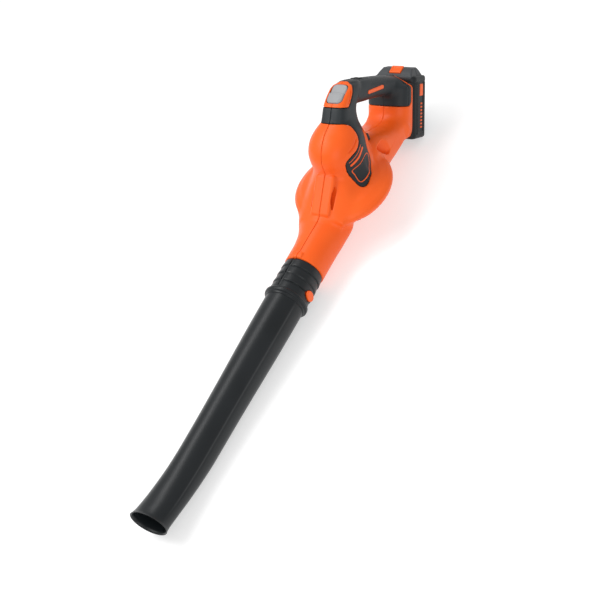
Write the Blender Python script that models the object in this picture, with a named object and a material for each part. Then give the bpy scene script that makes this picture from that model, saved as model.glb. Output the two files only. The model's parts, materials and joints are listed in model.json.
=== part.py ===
"""Cordless leaf blower, as an assembly of separate solids.

It runs in Blender 4.5 with  blender --background --python part.py  or from the text editor.

Everything is drawn in millimetres in the tool's own axes and turned into metres at the end:
x runs forward along the blow tube, y to the tool's left, z up along the fan's axis, and the
origin is the middle of the fan, level with the widest line of its round housing. The handle,
the grip and the battery are square to each other but lean back against the tube, so they are
drawn in a second set of axes: n runs back along the handle and u up along the battery.
The empty "tool_frame" turns the finished tool so that it lies on a floor at z = 0, on the
battery's lower edge and the blow tube's flange, with the origin under the middle of its box.
"""

import math

import bmesh
import bpy
from mathutils import Matrix, Vector

# Driving dimensions, in millimetres unless the name says otherwise.
MM = 0.001
LEAN_DEG = 37.0             # the handle's slope against the tube
WALL = 2.6                  # thickness of the moulded shells
GAP = 0.3                   # clearance between pieces that meet
MERGE = 0.003               # points closer than this become one
TUBE_AXIS_Z = -20.6         # the tube's axis below the fan's origin
DUCT_R = 33.0               # outer radius of the duct and of the tube's collar
SPIGOT_R = 28.6             # nose of the duct, which the tube slides over
SPIGOT_WALL = 2.4
DUCT_END_X = 161.0
SPIGOT_END_X = 213.0
FLANGE_X = 219.0            # start of the flange that ends the collar
FLANGE_LENGTH = 7.0
FLANGE_R = 35.8
TUBE_WALL = 2.0
SCROLL_R = 82.0
INLET_R = 42.0
FAN_R = 57.0
FAN_BLADES = 9
MOTOR_R = 17.8
SHAFT_R = 1.6
BORE_R = 1.9                # bore of whatever the shaft carries
BATTERY_HALF_WIDTH = 40.0
BATTERY_REAR_N = 201.5
BATTERY_FRONT_N = 157.2
BATTERY_BOTTOM_U = 56.0
BATTERY_TOP_U = 156.0
BATTERY_CHAMFER = 4.0
CELL_R = 9.1
CELL_LENGTH = 65.0
CELL_COUNT = 5
CELL_N = 185.0              # the row of cells, back from the seat
SCREW_HEAD_R = 3.2
SCREW_SHANK_R = 1.4
SCREW_TIP_Y = 9.0           # how far a case screw reaches into the left half
SCREW_HEAD_Y = -12.0        # underside of its head, deep in the right half
SCREW_HEAD_HEIGHT = 2.2
BOSS_R = 5.0                # outer radius of the posts that the case screws hold
BOSS_SETBACK = 0.25         # the posts end this far inside the halves' meeting faces
ROUND = 28                  # sides of a large round piece
SMALL_ROUND = 16            # sides of a small one

LEAN = math.radians(LEAN_DEG)

# Material name: (red, green, blue), roughness, metallic.
FINISHES = {
    "orange_shell": ((0.90, 0.13, 0.02), 0.35, 0.0),
    "dark_grip": ((0.035, 0.04, 0.045), 0.6, 0.0),
    "black_tube": ((0.02, 0.022, 0.025), 0.4, 0.0),
    "grey_button": ((0.42, 0.43, 0.45), 0.4, 0.0),
    "orange_button": ((0.88, 0.12, 0.02), 0.4, 0.0),
    "battery_case": ((0.04, 0.042, 0.048), 0.5, 0.0),
    "battery_head": ((0.08, 0.085, 0.09), 0.5, 0.0),
    "cell_wrap": ((0.05, 0.25, 0.45), 0.4, 0.0),
    "steel": ((0.55, 0.56, 0.58), 0.3, 1.0),
    "copper": ((0.75, 0.35, 0.15), 0.35, 1.0),
    "brass": ((0.75, 0.6, 0.25), 0.3, 1.0),
    "magnet": ((0.09, 0.09, 0.10), 0.7, 0.0),
    "circuit_board": ((0.03, 0.22, 0.08), 0.5, 0.0),
    "switch_body": ((0.03, 0.03, 0.03), 0.5, 0.0),
    "fan_plastic": ((0.08, 0.08, 0.085), 0.5, 0.0),
    "red_wire": ((0.6, 0.03, 0.03), 0.5, 0.0),
    "black_wire": ((0.02, 0.02, 0.02), 0.5, 0.0),
}


# --- Axes ---------------------------------------------------------------------------------

def in_tool(point):
    """A point already in the tool's axes (x, y, z)."""
    return Vector(point)


def in_grip(point):
    """A point in the handle's axes (n back along the handle, y left, u up the battery)."""
    n, y, u = point
    x = -n * math.cos(LEAN) - u * math.sin(LEAN)
    z = -n * math.sin(LEAN) + u * math.cos(LEAN)
    return Vector((x, y, z))


def in_tilted(origin, slope):
    """A mapping for pieces on a slanted face of the handle: a runs up the slope, b outward.

    slope is the angle of the face against n, and origin is (n, u) of its middle.
    """
    def mapping(point):
        a, y, b = point
        n = origin[0] + a * math.cos(slope) - b * math.sin(slope)
        u = origin[1] + a * math.sin(slope) + b * math.cos(slope)
        return in_grip((n, y, u))
    return mapping


def along_x(point):
    """For turned pieces on the blow tube's axis: (a, b, height) to tool axes."""
    a, b, height = point
    return Vector((height, a, b + TUBE_AXIS_Z))


def along_z(x, y):
    """A mapping for turned pieces whose upright axis stands at (x, y)."""
    return lambda point: Vector((point[0] + x, point[1] + y, point[2]))


def along_y(centre_x, centre_z):
    """A mapping for turned pieces whose axis runs along y: (a, b, height) to tool axes."""
    def mapping(point):
        a, b, height = point
        return Vector((centre_x + a, height, centre_z + b))
    return mapping


# --- Modelling helpers --------------------------------------------------------------------

def solid(name, points, faces, to_tool=in_tool):
    """A closed mesh object in millimetres, its faces turned outwards."""
    mesh = bpy.data.meshes.new(name)
    mesh.from_pydata([to_tool(point) for point in points], [], faces)
    shape = bmesh.new()
    shape.from_mesh(mesh)
    bmesh.ops.remove_doubles(shape, verts=shape.verts, dist=0.0001)
    bmesh.ops.recalc_face_normals(shape, faces=shape.faces)
    shape.to_mesh(mesh)
    shape.free()
    made = bpy.data.objects.new(name, mesh)
    bpy.context.scene.collection.objects.link(made)
    return made


def loft(name, rings, to_tool=in_tool):
    """Skin through rings that all have the same number of points, capped at both ends."""
    count = len(rings[0])
    points = [point for ring in rings for point in ring]
    faces = [list(range(count))]
    for level in range(len(rings) - 1):
        low, high = level * count, (level + 1) * count
        for i in range(count):
            j = (i + 1) % count
            faces.append((low + i, low + j, high + j, high + i))
    last = (len(rings) - 1) * count
    faces.append(list(range(last, last + count)))
    return solid(name, points, faces, to_tool)


def turned(name, outline, to_tool=in_tool, sides=ROUND, start=0.0, sweep=math.tau):
    """A closed (radius, height) outline turned about the third axis, or part of a turn."""
    whole = math.isclose(sweep, math.tau)
    steps = sides if whole else sides + 1
    points, faces, count = [], [], len(outline)
    for step in range(steps):
        angle = start + sweep * step / sides
        for radius, height in outline:
            points.append((radius * math.cos(angle), radius * math.sin(angle), height))
    for step in range(sides):
        here, there = step * count, ((step + 1) % steps) * count
        for i in range(count):
            j = (i + 1) % count
            if outline[i][0] == 0 and outline[j][0] == 0:
                continue
            faces.append((here + i, here + j, there + j, there + i))
    if not whole:
        faces.append(list(range(count)))
        faces.append(list(range((steps - 1) * count, steps * count)))
    return solid(name, points, faces, to_tool)


def disc(name, radius, low, high, to_tool=in_tool, sides=SMALL_ROUND, bore=0.0):
    """A plain round piece, with or without a bore."""
    outline = [(bore, low), (radius, low), (radius, high), (bore, high)]
    return turned(name, outline, to_tool, sides)


def prism(name, outline, low, high, to_tool=in_tool):
    """An (a, c) outline drawn square to y and stretched from y = low to y = high."""
    rings = [[(a, y, c) for a, c in outline] for y in (low, high)]
    return loft(name, rings, to_tool)


def block(name, a_range, y_range, c_range, to_tool=in_tool):
    """A box between the given limits."""
    (a_low, a_high), (c_low, c_high) = a_range, c_range
    outline = [(a_low, c_low), (a_high, c_low), (a_high, c_high), (a_low, c_high)]
    return prism(name, outline, y_range[0], y_range[1], to_tool)


def oval(half_wide, half_high, power, count):
    """Points of a rounded oval; a power above 2 makes it boxier."""
    points = []
    for i in range(count):
        angle = math.tau * i / count
        c, s = math.cos(angle), math.sin(angle)
        a = math.copysign(abs(c) ** (2.0 / power), c) * half_wide
        b = math.copysign(abs(s) ** (2.0 / power), s) * half_high
        points.append((a, b))
    return points


def rounded(width, height, radius, steps=3):
    """A rectangle with round corners, centred on its own middle."""
    points = []
    corners = ((1, 1, 0), (-1, 1, 90), (-1, -1, 180), (1, -1, 270))
    for sign_a, sign_b, first in corners:
        for step in range(steps + 1):
            angle = math.radians(first + 90.0 * step / steps)
            a = sign_a * (width / 2 - radius) + radius * math.cos(angle)
            b = sign_b * (height / 2 - radius) + radius * math.sin(angle)
            points.append((a, b))
    return points


def grown(outline, distance):
    """An outline moved outwards by distance, each corner along its own middle line."""
    area = sum(a[0] * b[1] - b[0] * a[1] for a, b in zip(outline, outline[1:] + outline[:1]))
    side = 1.0 if area > 0 else -1.0
    moved = []
    for i, here in enumerate(outline):
        before = Vector(outline[i - 1])
        after = Vector(outline[(i + 1) % len(outline)])
        into = (Vector(here) - before).normalized()
        out_of = (after - Vector(here)).normalized()
        normal_in = Vector((into.y, -into.x)) * side
        normal_out = Vector((out_of.y, -out_of.x)) * side
        middle = (normal_in + normal_out).normalized()
        reach = distance / max(0.35, middle.dot(normal_in))
        moved.append(tuple(Vector(here) + middle * reach))
    return moved


def bake(shape):
    """Turns an object's modifiers into its mesh, and merges points that nearly coincide."""
    graph = bpy.context.evaluated_depsgraph_get()
    made = bpy.data.meshes.new_from_object(shape.evaluated_get(graph))
    tidy = bmesh.new()
    tidy.from_mesh(made)
    bmesh.ops.triangulate(tidy, faces=tidy.faces)
    bmesh.ops.remove_doubles(tidy, verts=tidy.verts, dist=MERGE)
    bmesh.ops.dissolve_degenerate(tidy, edges=tidy.edges, dist=MERGE)
    tidy.to_mesh(made)
    tidy.free()
    old = shape.data
    shape.modifiers.clear()
    shape.data = made
    bpy.data.meshes.remove(old)
    return shape


def combine(shape, others, operation, keep=False):
    """Applies one Boolean after another to shape, and removes the other solids."""
    for other in others:
        modifier = shape.modifiers.new(operation.title(), "BOOLEAN")
        modifier.operation = operation
        modifier.solver = "EXACT"
        modifier.object = other
        bake(shape)
    if not keep:
        for other in others:
            bpy.data.objects.remove(other, do_unlink=True)
    return shape


def unite(shapes):
    return combine(shapes[0], shapes[1:], "UNION")


def cut(shape, cutters, keep=False):
    return combine(shape, cutters, "DIFFERENCE", keep)


def common(shape, others, keep=False):
    return combine(shape, others, "INTERSECT", keep)


def copy_of(shape, name):
    made = bpy.data.objects.new(name, shape.data.copy())
    bpy.context.scene.collection.objects.link(made)
    return made


def remove(shapes):
    for shape in shapes:
        bpy.data.objects.remove(shape, do_unlink=True)


def bevelled(shape, width, segments=1, angle=35.0):
    """Breaks the sharp edges of a solid."""
    modifier = shape.modifiers.new("Bevel", "BEVEL")
    modifier.width = width
    modifier.segments = segments
    modifier.limit_method = "ANGLE"
    modifier.angle_limit = math.radians(angle)
    return bake(shape)


def coil(name, radius, wire_r, turns, length, to_tool):
    """A coil spring about the third axis, from height 0 to length."""
    per_turn, sides = 8, 4
    count = int(turns * per_turn)
    rings = []
    for i in range(count + 1):
        angle = math.tau * i / per_turn
        height = wire_r + (length - 2 * wire_r) * i / count
        ring = []
        for k in range(sides):
            around = math.tau * k / sides
            r = radius + wire_r * math.cos(around)
            rise = wire_r * math.sin(around)
            ring.append((r * math.cos(angle), r * math.sin(angle), height + rise))
        rings.append(ring)
    return loft(name, rings, to_tool)


def wire(name, route, radius, to_tool):
    """An insulated lead: a round curve along a smooth route through the given points."""
    data = bpy.data.curves.new(name, "CURVE")
    data.dimensions = "3D"
    data.bevel_depth = radius
    data.bevel_resolution = 1
    data.use_fill_caps = True
    smooth = []
    ends = [route[0]] + route + [route[-1]]
    steps = 3
    for i in range(1, len(ends) - 2):
        p0, p1, p2, p3 = (Vector(ends[k]) for k in range(i - 1, i + 3))
        for step in range(steps):
            t = step / steps
            quadratic = (2 * p0 - 5 * p1 + 4 * p2 - p3) * t * t
            cubic = (3 * p1 - p0 - 3 * p2 + p3) * t ** 3
            smooth.append(0.5 * (2 * p1 + (p2 - p0) * t + quadratic + cubic))
    smooth.append(Vector(route[-1]))
    spline = data.splines.new("POLY")
    spline.points.add(len(smooth) - 1)
    for target, place in zip(spline.points, smooth):
        target.co = (*to_tool(place), 1.0)
    curve = bpy.data.objects.new(name, data)
    bpy.context.scene.collection.objects.link(curve)
    graph = bpy.context.evaluated_depsgraph_get()
    made = bpy.data.objects.new(name, bpy.data.meshes.new_from_object(curve.evaluated_get(graph)))
    bpy.context.scene.collection.objects.link(made)
    bpy.data.objects.remove(curve, do_unlink=True)
    return bake(made)


# --- Assembly -----------------------------------------------------------------------------

def material(name):
    """The Principled material of a finish, made once."""
    if name in bpy.data.materials:
        return bpy.data.materials[name]
    colour, roughness, metallic = FINISHES[name]
    made = bpy.data.materials.new(name)
    made.use_nodes = True
    shader = made.node_tree.nodes["Principled BSDF"]
    shader.inputs["Base Color"].default_value = (*colour, 1.0)
    shader.inputs["Roughness"].default_value = roughness
    shader.inputs["Metallic"].default_value = metallic
    made.diffuse_color = (*colour, 1.0)
    return made


def part(shape, name, finish, parent, origin=(0.0, 0.0, 0.0)):
    """Names a finished solid, scales it to metres and hangs it on the tool's frame.

    origin is the point, in the tool's millimetres, that becomes the object's own origin:
    a moving piece gets a point on its joint's axis.
    """
    shape.name = name
    shape.data.name = name
    shape.data.transform(Matrix.Scale(MM, 4) @ Matrix.Translation(-Vector(origin)))
    shape.data.materials.clear()
    shape.data.materials.append(material(finish))
    shape.data.set_sharp_from_angle(angle=math.radians(40))
    shape.parent = parent
    shape.location = Vector(origin) * MM
    return shape


# --- The moulded body's outer form --------------------------------------------------------

def scroll(inset):
    """The round fan housing; inset makes the hollow inside it."""
    if inset:
        outline = [(0, 21), (44, 19.2), (64.6, 12.4), (75, 6.3), (79.4, 1.4), (79.4, -2.6),
                   (76.9, -6.8), (74, -9.4), (INLET_R, -9.4), (INLET_R, -14), (0, -14)]
    else:
        outline = [(0, 24), (45, 22), (66, 15), (77, 8), (SCROLL_R, 2.2), (SCROLL_R, -3),
                   (79, -8), (75, -12), (0, -12)]
    return turned("scroll", outline)


def stacked(name, sections, axis_of, inset, power, count=20):
    """Loft through ovals. A section is (height, centre, half length, half width, side shift)."""
    rings = []
    for height, centre, half_long, half_wide, shift in sections:
        ring = oval(half_long - inset, half_wide - inset, power, count)
        rings.append([axis_of(height, centre + a, shift + b) for a, b in ring])
    return loft(name, rings)


def shortened(sections, inset):
    """Pulls the first and last section of a stack inwards along the stack."""
    trimmed = [list(section) for section in sections]
    step = inset * math.copysign(1.0, sections[-1][0] - sections[0][0])
    trimmed[0][0] += step
    trimmed[-1][0] -= step
    return trimmed


def tower(inset):
    """The upright motor housing with its domed front. Height is z, length runs along x."""
    sections = [(-5, -8, 70, 64, 0), (12, -14, 62, 55, 0), (25, -20, 55, 48, 0),
                (40, -24, 50, 43.5, 0), (55, -25, 49.5, 43.5, 0), (70, -25, 49.5, 43.5, 0),
                (84, -26.5, 44, 39, 0), (95, -28, 34, 30, 0), (103, -30, 22, 18, 0),
                (107, -31, 8, 6, 0)]
    if inset:
        sections = sections[:-1]
    return stacked("tower", shortened(sections, inset), lambda z, x, y: (x, y, z), inset, 2.2)


def duct(inset):
    """The outlet duct, from the fan housing to the round end that the tube meets.

    Height of a section is x, its length runs along z and it leans to the outlet's side.
    """
    sections = [(20, -2, 8, 58, 0), (40, -4, 9, 52, -5), (50, -12, 18, 48, -7),
                (62, -18.4, 29.5, 45.5, -6), (78, -20, 32, 41, -4), (95, TUBE_AXIS_Z, DUCT_R, 37, -2),
                (112, TUBE_AXIS_Z, DUCT_R, 34.2, -0.5), (134, TUBE_AXIS_Z, DUCT_R, DUCT_R, 0),
                (DUCT_END_X, TUBE_AXIS_Z, DUCT_R, DUCT_R, 0)]
    return stacked("duct", shortened(sections, inset), lambda x, z, y: (x, y, z), inset, 2.0)


NECK = [  # x, height of the crown, half width
    (-10, 52, 50), (12, 48, 50), (27, 45, 49), (43, 35.5, 48), (63, 23, 43), (79, 12, 40)]
NECK_FLOOR = -4.0


def neck(inset):
    """The saddle that runs from the motor housing down to the duct, flat underneath."""
    rings = []
    for x, crown, wide in shortened(NECK, inset):
        ring = oval(wide - inset, crown - inset, 2.0, 20)
        rings.append([(x, a, max(b, NECK_FLOOR)) for a, b in ring])
    return loft("neck", rings)


def arm(inset):
    """The lower bar behind the fan housing, which carries the battery seat."""
    sections = [(-56, 5, 22, 44, 0), (-66, 2, 30, 42, 0), (-78, -4, 35, 40.5, 0),
                (-92, -7, 33.5, 39, 0), (-118, -15, 27, 38, 0), (-140, -20, 21.5, 37.5, 0),
                (-160, -20.5, 18.5, 37, 0)]
    return stacked("arm", shortened(sections, inset), lambda x, z, y: (x, y, z), inset, 3.4, 16)


def handle(inset):
    """The grip bar. Height of a section is n, its length runs along u."""
    sections = [(0, 146, 16, 17, 0), (20, 147.5, 17, 18, 0), (45, 148.2, 16.6, 18, 0),
                (80, 148.8, 16.2, 18, 0), (110, 148.5, 16.5, 19, 0), (128, 147, 18, 23, 0),
                (146, 145, 18, 27, 0)]
    axes = lambda n, u, y: in_grip((n, y, u))
    return stacked("handle", shortened(sections, inset), axes, inset, 2.4, 16)


PILLAR = [  # u, front n, rear n, half width
    (66, -44, 40, 33), (80, -43, 36, 31), (92, -41, 28, 27), (105, -38.5, 20, 23.5),
    (118, -36, 15.5, 22), (128, -33.5, 14.5, 21.5), (136, -29.5, 14.5, 21), (146, -22, 16, 20.5),
    (154, -14.5, 20, 19), (160, -6, 24, 16), (163.5, 4, 26, 11)]


def pillar(inset):
    """The front post of the handle, from the motor housing up to the boost button."""
    sections = [(u, (front + rear) / 2, (rear - front) / 2, wide, 0)
                for u, front, rear, wide in PILLAR]
    axes = lambda u, n, y: in_grip((n, y, u))
    return stacked("pillar", shortened(sections, inset), axes, inset, 3.2, 16)


SEAT = [  # u, front n, rear n, half width
    (63, 134, 147, 35), (74, 129, 154, 38), (80, 127, 156.5, 38.5), (114, 126, 156.5, 38.5),
    (140, 127, 156.5, 38.5), (149, 129, 156.5, 34.5), (156, 132, 156.5, 27.5),
    (161, 138, 156.5, 21), (163.5, 143, 155.5, 15)]


def seat(inset):
    """The battery seat: flat at the back, round towards the handle."""
    rings = []
    for u, front, rear, wide in shortened(SEAT, inset):
        middle = rear - 9.0
        ring = []
        for a, b in oval(1.0, 1.0, 2.0, 16):
            reach = rear - middle - inset if a > 0 else middle - front - inset
            power = 6.0 if a > 0 else 2.3
            long = math.copysign(abs(a) ** (2.0 / power), a) * reach
            across = math.copysign(abs(b) ** (2.0 / power), b) * (wide - inset)
            ring.append(in_grip((middle + long, across, u)))
        rings.append(ring)
    return loft("seat", rings)


PAD_TOP_X = 27.0            # where the pad's top face starts
PAD_SLOPE = 0.745           # how fast that face falls towards the front
PAD_VENT_Z = 49.0           # height of the slots in the pad's sides at PAD_TOP_X


def pad():
    """The raised pad on the front slope, over the duct."""
    outline = [(20, 48), (25, 54), (29, 53), (77, 18), (80, 14), (79, 4), (20, 0)]
    return bevelled(prism("pad", outline, -18, 18), 3.0, 2, 20.0)


def pad_hollow():
    outline = [(16, 46), (26, 49), (73, 14.5), (74, 2), (16, 0)]
    return prism("pad_hollow", outline, -14.5, 14.5)


def body_solid(inset):
    """The whole body as one solid, or the hollow inside it."""
    pieces = [scroll(inset), tower(inset), neck(inset), duct(inset), arm(inset), seat(inset)]
    pieces += [handle(inset), pillar(inset)]
    pieces.append(pad_hollow() if inset else pad())
    return unite(pieces)


# --- Lines on the body's side where one moulding ends and the next begins (n, u) -----------

GRIP_LINE = [
    (-60, 104.5), (-60, 128.5), (-19, 128.5), (-14, 134), (-4, 155), (8, 170), (151.5, 170),
    (151.5, 121), (145, 114), (40, 114), (34, 96), (6.5, 87.5), (4, 78), (4.5, 66), (14, 50.5), (11.5, 36),
    (-3.5, 21), (-23, 7), (-28.5, 16), (-32, 26), (-43, 41), (-44.5, 49.5), (-37, 58.5),
    (-27.5, 65.5), (-20.5, 74.5), (-19, 83.5), (-20, 93.5), (-22, 102.5), (-30, 104.5)]
BEZEL_LINE = [(-60, 129), (-19.5, 129), (-14.5, 134.5), (-4.5, 155.5), (7.5, 170.5), (-60, 170.5)]

# Middle of the boost button's face, and the face's slope against n.
BUTTON_MIDDLE = (-17.0, 149.0)
BUTTON_SLOPE = math.radians(41.0)
BUTTON_LENGTH = 36.0
BUTTON_WIDTH = 28.0
BUTTON_RISE = 3.0           # how far it stands out of the bezel

# The power switch's slot in the top of the handle.
SLIDER_N = (29.0, 43.0)
SLIDER_SLOT_N = (27.5, 51.0)
SLIDER_HALF_WIDTH = 5.5

# The orange strip let into each side of the handle.
INLAY_MIDDLE = (71.0, 147.6)
INLAY_LENGTH = 48.0
INLAY_HEIGHT = 6.4
INLAY_SLOPE = math.radians(6.0)

# Middles of the case screws, in the tool's x and z.
CASE_SCREWS = [(-96, -24), (-140, -20), (-56, 78), (-64, 25)]
GRIP_SCREWS_NU = [(112, 148), (2, 122)]


def boss_places():
    grip = []
    for n, u in GRIP_SCREWS_NU:
        place = in_grip((n, 0, u))
        grip.append((place.x, place.z))
    return CASE_SCREWS + grip


def inlay_outline(extra=0.0):
    """The strip's outline in n and u: a bar with round ends, tipped a little."""
    length, height = INLAY_LENGTH + 2 * extra, INLAY_HEIGHT + 2 * extra
    bar = rounded(length, height, height / 2 - 0.05)
    c, s = math.cos(INLAY_SLOPE), math.sin(INLAY_SLOPE)
    middle_n, middle_u = INLAY_MIDDLE
    return [(middle_n + a * c - b * s, middle_u + a * s + b * c) for a, b in bar]


def button_prism(name, extra):
    """The boost button's outline driven through the top of the post, square to its face."""
    mapping = in_tilted(BUTTON_MIDDLE, BUTTON_SLOPE)
    outline = rounded(BUTTON_LENGTH + 2 * extra, BUTTON_WIDTH + 2 * extra, 8.0)
    rings = [[(a, y, height) for a, y in outline] for height in (-14.0, 22.0)]
    return loft(name, rings, mapping)


def slanted_pad(point):
    """A point beside the raised pad: x along the tool, y across, height above a line in its side."""
    x, y, height = point
    return Vector((x, y, PAD_VENT_Z - PAD_SLOPE * (x - PAD_TOP_X) + height))


def screw_hole(x, z, side):
    """A blind pilot hole in the left half, or a clearance hole and a deep head well in the right."""
    r = SCREW_SHANK_R + GAP
    well = SCREW_HEAD_R + GAP
    end, shoulder, outside = SCREW_TIP_Y + 2 * GAP, SCREW_HEAD_Y + GAP, -90
    if side > 0:
        outline = [(0, -5), (r, -5), (r, end), (0, end)]
    else:
        outline = [(0, 5), (r, 5), (r, shoulder), (well, shoulder), (well, outside), (0, outside)]
    return turned("screw_hole", outline, along_y(x, z), 12)


def make_shells(root):
    """The left and right housings, the two grip mouldings and the boost button's bezel."""
    spigot = disc("spigot", SPIGOT_R, DUCT_END_X - 8, SPIGOT_END_X, along_x, ROUND)
    outer = unite([body_solid(0.0), spigot])
    bore = disc("bore", SPIGOT_R - SPIGOT_WALL, 120, SPIGOT_END_X + 10, along_x, ROUND)
    hollow = unite([body_solid(WALL), bore])

    shell = cut(copy_of(outer, "shell"), [hollow])
    openings = [block("battery_slot", (146.0, 175.0), (-29.5, 29.5), (82.0, 180.0), in_grip),
                block("slider_slot", SLIDER_SLOT_N, (-6.5, 6.5), (158.0, 170.0), in_grip)]
    for low, high in ((-25, -15), (15, 25)):
        openings.append(prism("inlay_slot", inlay_outline(GAP), low, high, in_grip))
    for low, high in ((-25, -12), (12, 25)):
        openings.append(block("pad_vent", (36.0, 62.0), (low, high), (-1.5, 1.5), slanted_pad))
    shell = cut(shell, openings)

    core = body_solid(WALL / 2)
    dark = prism("dark", GRIP_LINE, -100, 100, in_grip)
    dark_small = prism("dark_small", grown(GRIP_LINE, -GAP), -100, 100, in_grip)
    bezel_cut = prism("bezel_cut", grown(BEZEL_LINE, 2.0), -100, 100, in_grip)
    bezel_small = prism("bezel_small", grown(BEZEL_LINE, -GAP), -100, 100, in_grip)

    bezel = common(copy_of(shell, "bezel"), [bezel_small])
    bezel = cut(bezel, [button_prism("hole", 0.5)])
    part(bezel, "boost_bezel", "orange_shell", root)

    for side, word in ((1.0, "left"), (-1.0, "right")):
        near, far = sorted((side * GAP / 2, side * 200.0))
        space = block("side", (-400, 400), (near, far), (-300, 300))
        half = common(copy_of(shell, "half"), [space])
        bosses = []
        near, far = sorted((side * (GAP / 2 + BOSS_SETBACK), side * 200.0))
        for x, z in boss_places():
            post = disc("boss", BOSS_R, near, far, along_y(x, z), 12)
            bosses.append(common(post, [core], keep=True))
        half = unite([half] + bosses)
        half = cut(half, [screw_hole(x, z, side) for x, z in boss_places()])
        grip = common(copy_of(half, "grip"), [dark_small], keep=True)
        part(grip, "grip_" + word, "dark_grip", root)
        half = cut(half, [dark, bezel_cut], keep=True)
        part(half, "housing_" + word, "orange_shell", root)
    remove([outer, core, shell, dark, dark_small, bezel_cut])


# --- Fan, motor and intake ----------------------------------------------------------------

FAN_TOP_Z = 8.6
FAN_BOTTOM_Z = -8.0
MOUNT_Z = (11.5, 14.2)
BELL_Z = (14.6, 17.6)
CAN_Z = (18.0, 66.0)
MOTOR_SCREW_X = 9.5
INTAKE_SLOTS = 12


def make_intake(root):
    """The domed grille under the fan, cut back where the duct passes, and its screws."""
    outer = [(0, -38), (20, -37.2), (36, -33.8), (50, -28), (62, -20.6), (70, -15.5),
             (74.5, -12.4)]
    inner = [(r - 0.8, z + 2.2) for r, z in reversed(outer[1:-1])]
    outline = outer + [(66, -12.4)] + inner[1:] + [(0, -35.6)]
    grille = turned("intake", outline, sides=24)
    slots = []
    for index in range(INTAKE_SLOTS):
        angle = math.tau * (index + 0.5) / INTAKE_SLOTS
        turn = Matrix.Rotation(angle, 3, "Z")
        turned_by = lambda point, turn=turn: turn @ Vector(point)
        slots.append(block("slot", (30, 56), (-2.0, 2.0), (-45, -5), turned_by))
    grille = cut(grille, slots + [duct(-0.5), arm(-0.5)])
    part(grille, "intake_grille", "orange_shell", root)


def fan_blade(index):
    """One backward-curved blade, from the eye to the rim."""
    steps = 4
    near, far = [], []
    for step in range(steps + 1):
        t = step / steps
        radius = 24.0 + (FAN_R - 24.5) * t
        angle = math.tau * index / FAN_BLADES - 0.75 * t
        for edge, shift in ((near, -0.9), (far, 0.9)):
            edge.append((radius * math.cos(angle) - shift * math.sin(angle),
                         radius * math.sin(angle) + shift * math.cos(angle)))
    outline = near + list(reversed(far))
    rings = [[(x, y, z) for x, y in outline] for z in (FAN_BOTTOM_Z, FAN_TOP_Z - 0.5)]
    return loft("blade", rings)


def make_fan(root):
    """The impeller and the nut that holds it on the motor's shaft."""
    outline = [(BORE_R, -8.4), (7, -8.4), (9, 2), (20, 6.6), (FAN_R, 7.0), (FAN_R, FAN_TOP_Z),
               (BORE_R, FAN_TOP_Z)]
    fan = turned("fan", outline)
    fan = unite([fan] + [fan_blade(index) for index in range(FAN_BLADES)])
    part(fan, "fan_impeller", "fan_plastic", root)
    part(disc("nut", 4.2, -12.4, -8.8, sides=6, bore=BORE_R), "fan_nut", "steel", root)


def make_motor(root):
    """The motor, upright over the fan, on its mounting plate."""
    plate = disc("plate", 56.0, *MOUNT_Z, sides=ROUND, bore=4.6)
    bell = disc("bell", MOTOR_R, *BELL_Z, sides=20, bore=3.5)
    for x in (-MOTOR_SCREW_X, MOTOR_SCREW_X):
        shift = along_z(x, 0)
        plate = cut(plate, [disc("hole", SCREW_SHANK_R + GAP, 5, 16, shift, 8)])
        bell = cut(bell, [disc("hole", SCREW_SHANK_R + GAP, 12, 20, shift, 8)])
    part(plate, "motor_mount", "battery_head", root)
    part(bell, "motor_end_bell", "switch_body", root)
    for x, word in ((-MOTOR_SCREW_X, "rear"), (MOTOR_SCREW_X, "front")):
        outline = [(0, 9.6), (2.7, 9.6), (2.7, 11.2), (SCREW_SHANK_R, 11.2),
                   (SCREW_SHANK_R, 17.2), (0, 17.2)]
        screw = turned("screw", outline, along_z(x, 0), 8)
        part(screw, "motor_screw_" + word, "steel", root)

    low, high = CAN_Z
    outline = [(MOTOR_R - 1.3, low), (MOTOR_R, low), (MOTOR_R, high), (3.5, high), (3.5, high - 1.3),
               (MOTOR_R - 1.3, high - 1.3)]
    part(turned("can", outline, sides=20), "motor_can", "steel", root)
    for bottom, top, word in ((high - 3.0, high + 1.5, "upper"), (BELL_Z[0] - 1.8, BELL_Z[1], "lower")):
        bush = disc("bush", 3.1, bottom, top, bore=BORE_R, sides=12)
        part(bush, "motor_bush_" + word, "brass", root)
    for start, word in ((-60, "front"), (120, "rear")):
        outline = [(13.8, 28), (16.2, 28), (16.2, 60), (13.8, 60)]
        magnet = turned("magnet", outline, in_tool, 8, math.radians(start), math.radians(120))
        part(magnet, "motor_magnet_" + word, "magnet", root)
    part(disc("armature", 12.9, 30, 58, bore=BORE_R), "motor_armature", "copper", root)
    part(disc("commutator", 5.5, 20.5, 27, bore=BORE_R), "motor_commutator", "copper", root)
    part(disc("shaft", SHAFT_R, -14, high + 4, sides=12), "motor_shaft", "steel", root)


# --- Boost button, power switch, wiring and trim -------------------------------------------

def make_boost(root):
    """The boost button, its spring and the switch under it."""
    cap = cut(pillar(-BUTTON_RISE), [pillar(3.0)])
    cap = common(cap, [button_prism("press", 0.0)])
    mapping = in_tilted(BUTTON_MIDDLE, BUTTON_SLOPE)
    middle = mapping((0, 0, 0))
    part(cap, "boost_button", "grey_button", root, middle)
    switch = block("switch", (-10, 10), (-8, 8), (-17.0, -9.0), mapping)
    part(bevelled(switch, 0.8), "boost_switch", "switch_body", root)
    spring = coil("spring", 3.2, 0.4, 4, 5.0, lambda p: mapping((p[0], p[1], p[2] - 8.6)))
    part(spring, "boost_spring", "steel", root, middle)


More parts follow.
